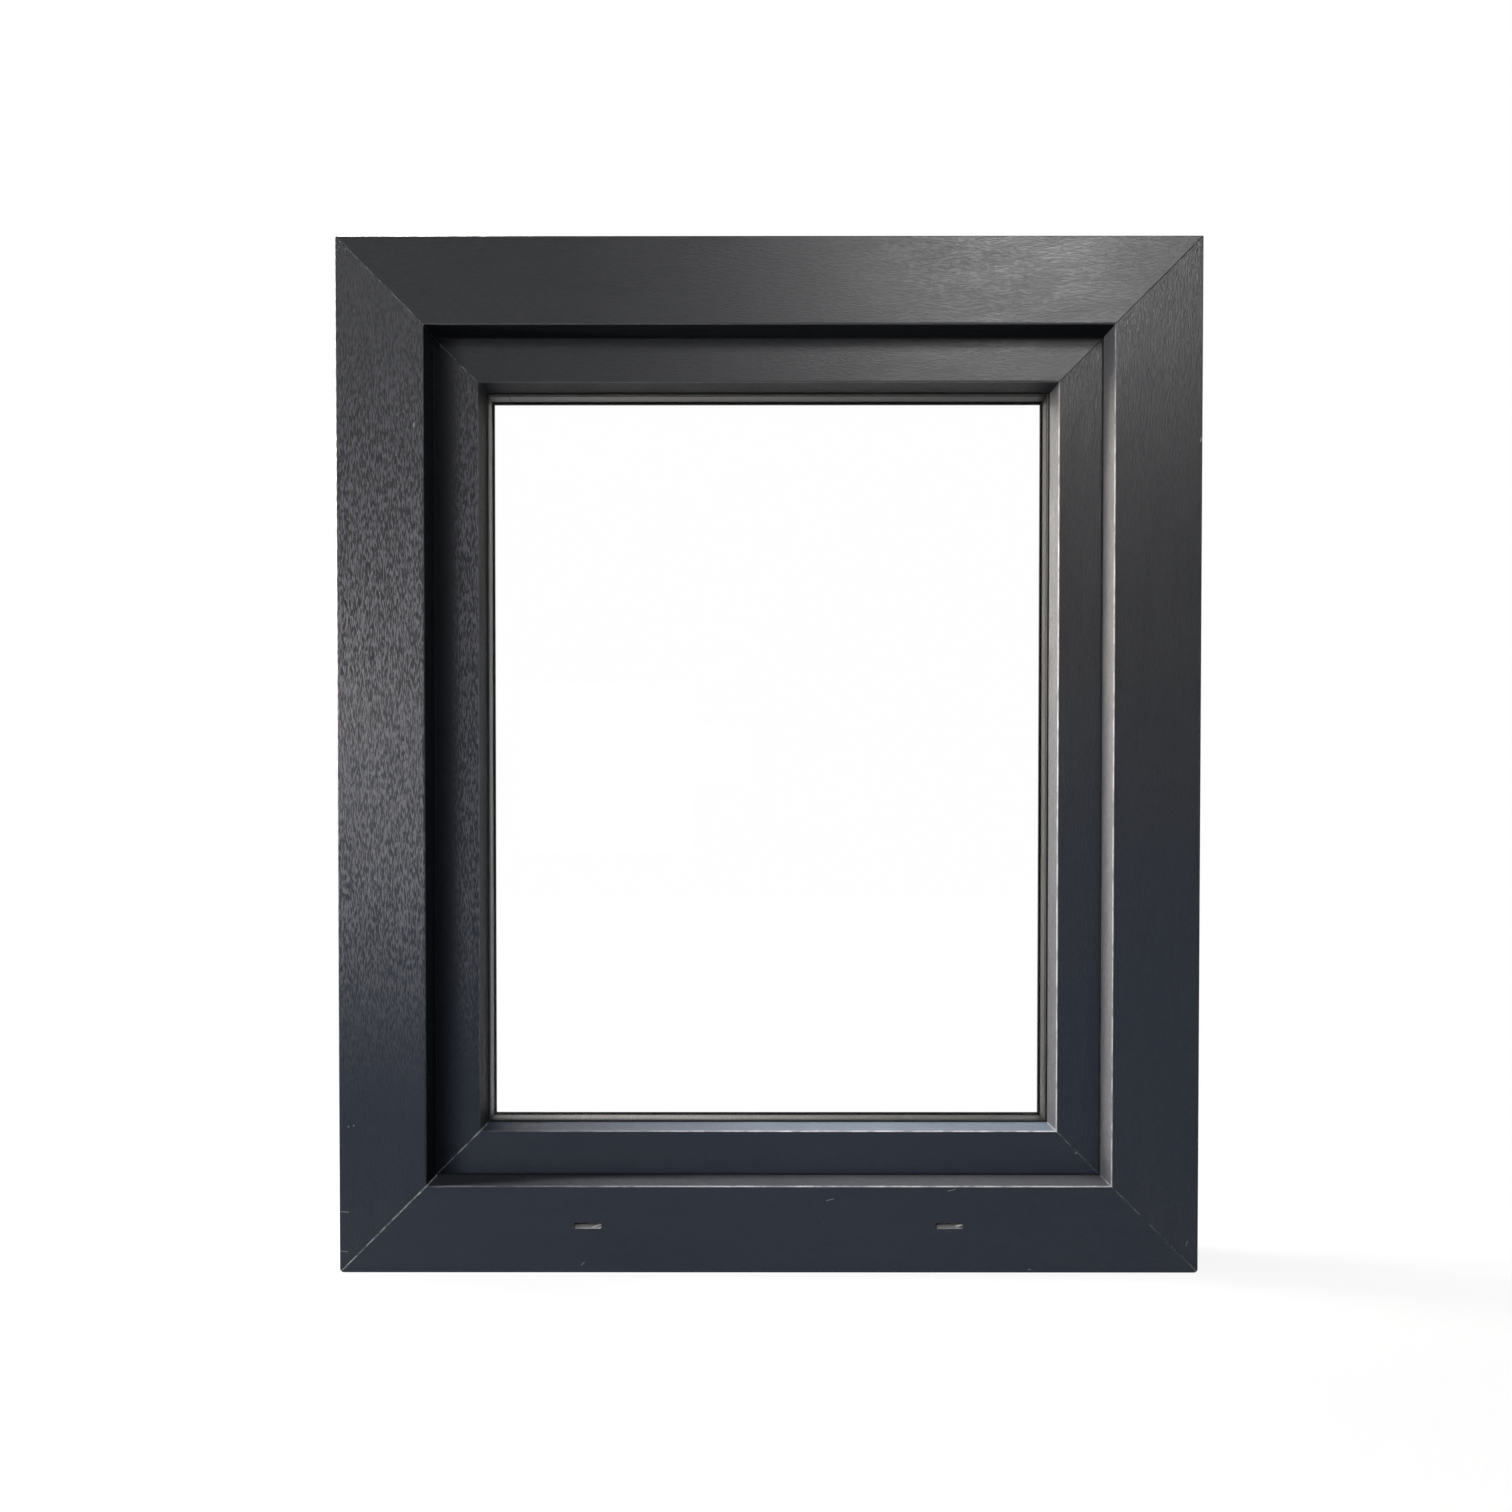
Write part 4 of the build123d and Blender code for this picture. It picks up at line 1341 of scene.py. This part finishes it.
def at_slots(start: Point, end: Point) -> tuple[tuple[Point, Point], ...]:
    """Lines at both drain slots.

    Args:
        start: First end, from a slot's centre at the front of the sill.
        end: Second end.

    Returns:
        The line at the left slot and the one at the right.
    """
    return tuple(
        tuple((x + way[0], way[1] - SIZES.half_depth, z + way[2]) for way in (start, end))
        for x, z in SLOT_CENTRES
    )


SLOT_CENTRES = ((-0.1475, 0.0385), (0.1475, 0.0385))
CRUMBS = (
    # Weld left in the lower corners of the frame's slope
    PaleCrumbs(
        name="weld_residue",
        runs=(
            ((-0.2785, -0.0334, 0.0703), (-0.2742, -0.0170, 0.0755)),
            ((0.2790, -0.0334, 0.0705), (0.2742, -0.0165, 0.0755)),
        ),
        spread=(0.0006, 0.0008, 0.0005),
        crumb=0.00055,
        count=10,
        light=grey(0.60),
        dark=(0.30, 0.31, 0.32),
        seed=4,
    ),
    # Curls left by the cutter at the right-hand ends of the drain slots
    PaleCrumbs(
        name="slot_burrs",
        runs=at_slots((0.0045, 0.0016, -0.0014), (0.0098, 0.0016, 0.0006)),
        spread=(0.0004, 0.0002, 0.0004),
        crumb=0.0010,
        count=9,
        light=grey(0.94),
        dark=grey(0.86),
        seed=11,
    ),
    # Torn edge along the lower rims of the drain slots
    PaleCrumbs(
        name="slot_rims",
        runs=at_slots((-0.0095, 0.0008, -0.0023), (0.0095, 0.0008, -0.0023)),
        spread=(0.0002, 0.0001, 0.0001),
        crumb=0.00065,
        count=32,
        light=grey(0.94),
        dark=grey(0.88),
        seed=23,
    ),
)


# Studio

@dataclass(frozen=True)
class Lamp:
    """Soft rectangular lamp that faces a point."""

    name: str
    place: Point
    target: Point
    width: float
    height: float
    power: float
    colour: Colour = WHITE
    diffuse: bool = True
    sheen: bool = True

    def light(self) -> None:
        """Set up the lamp."""
        data = bpy.data.lights.new(self.name, "AREA")
        data.shape = "RECTANGLE"
        data.size, data.size_y = self.width, self.height
        data.energy = self.power
        data.color = self.colour
        lamp = bpy.data.objects.new(self.name, data)
        lamp.location = self.place
        lamp.visible_diffuse = self.diffuse
        lamp.visible_glossy = self.sheen
        ahead = Vector(self.target) - Vector(self.place)
        lamp.rotation_euler = ahead.to_track_quat("-Z", "Y").to_euler()
        bpy.context.scene.collection.objects.link(lamp)


STRAW: Colour = (1.0, 0.97, 0.94)
CREAM: Colour = (1.0, 0.98, 0.93)
LAMPS = (
    Lamp("lamp_left_low", (-0.85, -0.085, 0.44), (0.27, -0.02, 0.38), 0.03, 0.3, 5.0, STRAW),
    Lamp("lamp_left_top", (-1.0, -0.10, 1.35), (0.2, -0.01, 0.1), 0.03, 0.4, 5.0),
    Lamp("lamp_left_front", (-1.3, -2.6, 2.0), (-0.1, 0.0, 0.4), 0.6, 0.6, 10.0, (0.92, 0.95, 1.0)),
    Lamp("lamp_front", (-0.25, -1.45, 0.45), (0.0, 0.0, 0.3), 0.3, 0.3, 1.6, (0.90, 0.94, 1.0)),
    Lamp("lamp_front_low", (-0.05, -1.25, 0.47), (0.0, 0.0, 0.05), 0.1, 0.1, 2.8, sheen=False),
    Lamp("lamp_right_near", (0.31, -0.47, 0.96), (0.22, 0.0, 0.8), 0.2, 0.15, 1.3, CREAM),
    Lamp("lamp_right_sheen", (0.33, -0.75, 1.25), (0.2, 0.0, 0.8), 0.2, 0.2, 7.0, diffuse=False),
    Lamp("lamp_room_top", (-0.5, 0.25, 1.3), (0.2, 0.0, 0.1), 0.3, 0.3, 24.0),
    Lamp("lamp_room_left", (-1.4, 0.5, 0.8), (0.2, 0.0, 0.4), 0.5, 0.5, 60.0, (1.0, 0.92, 0.82)),
    Lamp("lamp_room_high", (-1.2, 1.0, 1.2), (0.1, 0.0, 0.4), 0.6, 0.6, 16.0),
)


@dataclass
class Studio:
    """Pale floor, white surroundings, dark flags in front, soft lamps and the camera."""

    eye: Point = (-0.0296, -1.2648, 0.3777)
    pitch: float = -1.08
    yaw: float = 0.10
    lens: float = 36.095
    sensor: float = 36.0
    shift: Span = (0.0174, 0.0544)
    clip: Span = (0.01, 100.0)
    fill: float = 0.02
    floor_half: float = 6.0
    floor_glow: float = 0.90
    floor_fade: Span = (0.35, 1.1)
    flag_reach: float = 5.0
    flag_back: float = -0.3

    def build(self) -> None:
        """Set up the whole studio."""
        self.world()
        self.floor()
        self.flags()
        for lamp in LAMPS:
            lamp.light()
        self.camera()

    @staticmethod
    def seen(sketch: Sketch) -> Value:
        """1 for what the camera sees, straight, in a mirror or through glass, and else 0.

        Args:
            sketch: Tree that needs it.

        Returns:
            The share.
        """
        rays = sketch.add("ShaderNodeLightPath").outputs
        straight, through, mirrored = (
            Value(sketch, rays[f"Is {kind} Ray"]) for kind in ("Camera", "Transmission", "Glossy")
        )
        return straight | through | mirrored

    def world(self) -> None:
        """White surroundings for what the camera sees, and a dim even light."""
        world = bpy.data.worlds.new("surroundings")
        bpy.context.scene.world = world
        world.use_nodes = True
        world.node_tree.nodes.clear()
        sketch = Sketch(world.node_tree)
        strength = sketch.add("ShaderNodeMapRange", self.seen(sketch), *RISE, self.fill, 1.0)
        background = sketch.add("ShaderNodeBackground", rgba(WHITE), strength.outputs[0])
        sketch.add("ShaderNodeOutputWorld", background.outputs[0])

    def floor(self) -> None:
        """Pale floor that keeps a light shadow of the window."""
        half = self.floor_half
        work = bmesh.new()
        corners_xy = ((-half, -half), (half, -half), (half, half), (-half, half))
        work.faces.new([work.verts.new((x, y, 0.0)) for x, y in corners_xy])
        surface = Surface("floor_pale")
        sketch = surface.sketch
        cloud = sketch.noise(surface.place, 3.0)
        surface.set(
            Base_Color=sketch.mix(cloud, grey(0.88), grey(0.92)),
            Roughness=0.8,
            Specular_IOR_Level=0.1,
        )
        away = sketch.vector("LENGTH", surface.place, output="Value")
        share = self.seen(sketch) * sketch.step(away, self.floor_fade, (self.floor_glow, 1.0))
        glow = sketch.add("ShaderNodeEmission", rgba(WHITE)).outputs[0]
        blend = sketch.add("ShaderNodeMixShader", share, surface.shader.outputs[0], glow)
        sketch.feed(surface.output.inputs[0], blend.outputs[0])
        floor = finish_mesh("floor", work, surface.material)
        floor.visible_diffuse = False

    def flags(self) -> None:
        """Dark cloth flags round the front of the studio, seen only in reflections."""
        reach = self.flag_reach
        work = bmesh.new()
        bmesh.ops.create_cube(work, size=2.0)
        for vertex in work.verts:
            vertex.co.x *= reach
            vertex.co.y = self.flag_back if vertex.co.y > 0 else -reach
            vertex.co.z *= reach
        limit = self.flag_back - 0.01
        behind = [face for face in work.faces if face.calc_center_median().y > limit]
        bmesh.ops.delete(work, geom=behind, context="FACES")
        surface = Surface("flag_cloth")
        cloud = surface.sketch.noise(surface.place, 4.0)
        cloth = surface.sketch.mix(cloud, grey(0.004), grey(0.008))
        surface.set(Base_Color=cloth, Roughness=1.0, Specular_IOR_Level=0.0)
        flags = finish_mesh("flags", work, surface.material)
        for kind in ("camera", "diffuse", "transmission", "volume_scatter", "shadow"):
            setattr(flags, f"visible_{kind}", False)

    def camera(self) -> None:
        """Camera where the photograph was taken from."""
        data = bpy.data.cameras.new("camera")
        data.lens = self.lens
        data.sensor_width = self.sensor
        data.shift_x, data.shift_y = self.shift
        data.clip_start, data.clip_end = self.clip
        camera = bpy.data.objects.new("camera", data)
        camera.location = self.eye
        camera.rotation_euler = (math.radians(90.0 + self.pitch), 0.0, math.radians(self.yaw))
        bpy.context.scene.collection.objects.link(camera)
        bpy.context.scene.camera = camera


def main() -> None:
    """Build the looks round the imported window."""
    logging.basicConfig(level=logging.INFO, format="%(name)s: %(message)s")
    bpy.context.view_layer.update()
    bpy.context.scene.view_settings.view_transform = "Standard"
    Studio().build()
    for solids in (FoiledProfiles(), GlassUnit(), Gaskets(), Hardware()):
        solids.dress()
    for detail in (SpacerPerforations(), HingeScrews(), *CRUMBS):
        detail.build()


if __name__ == "__main__":
    main()
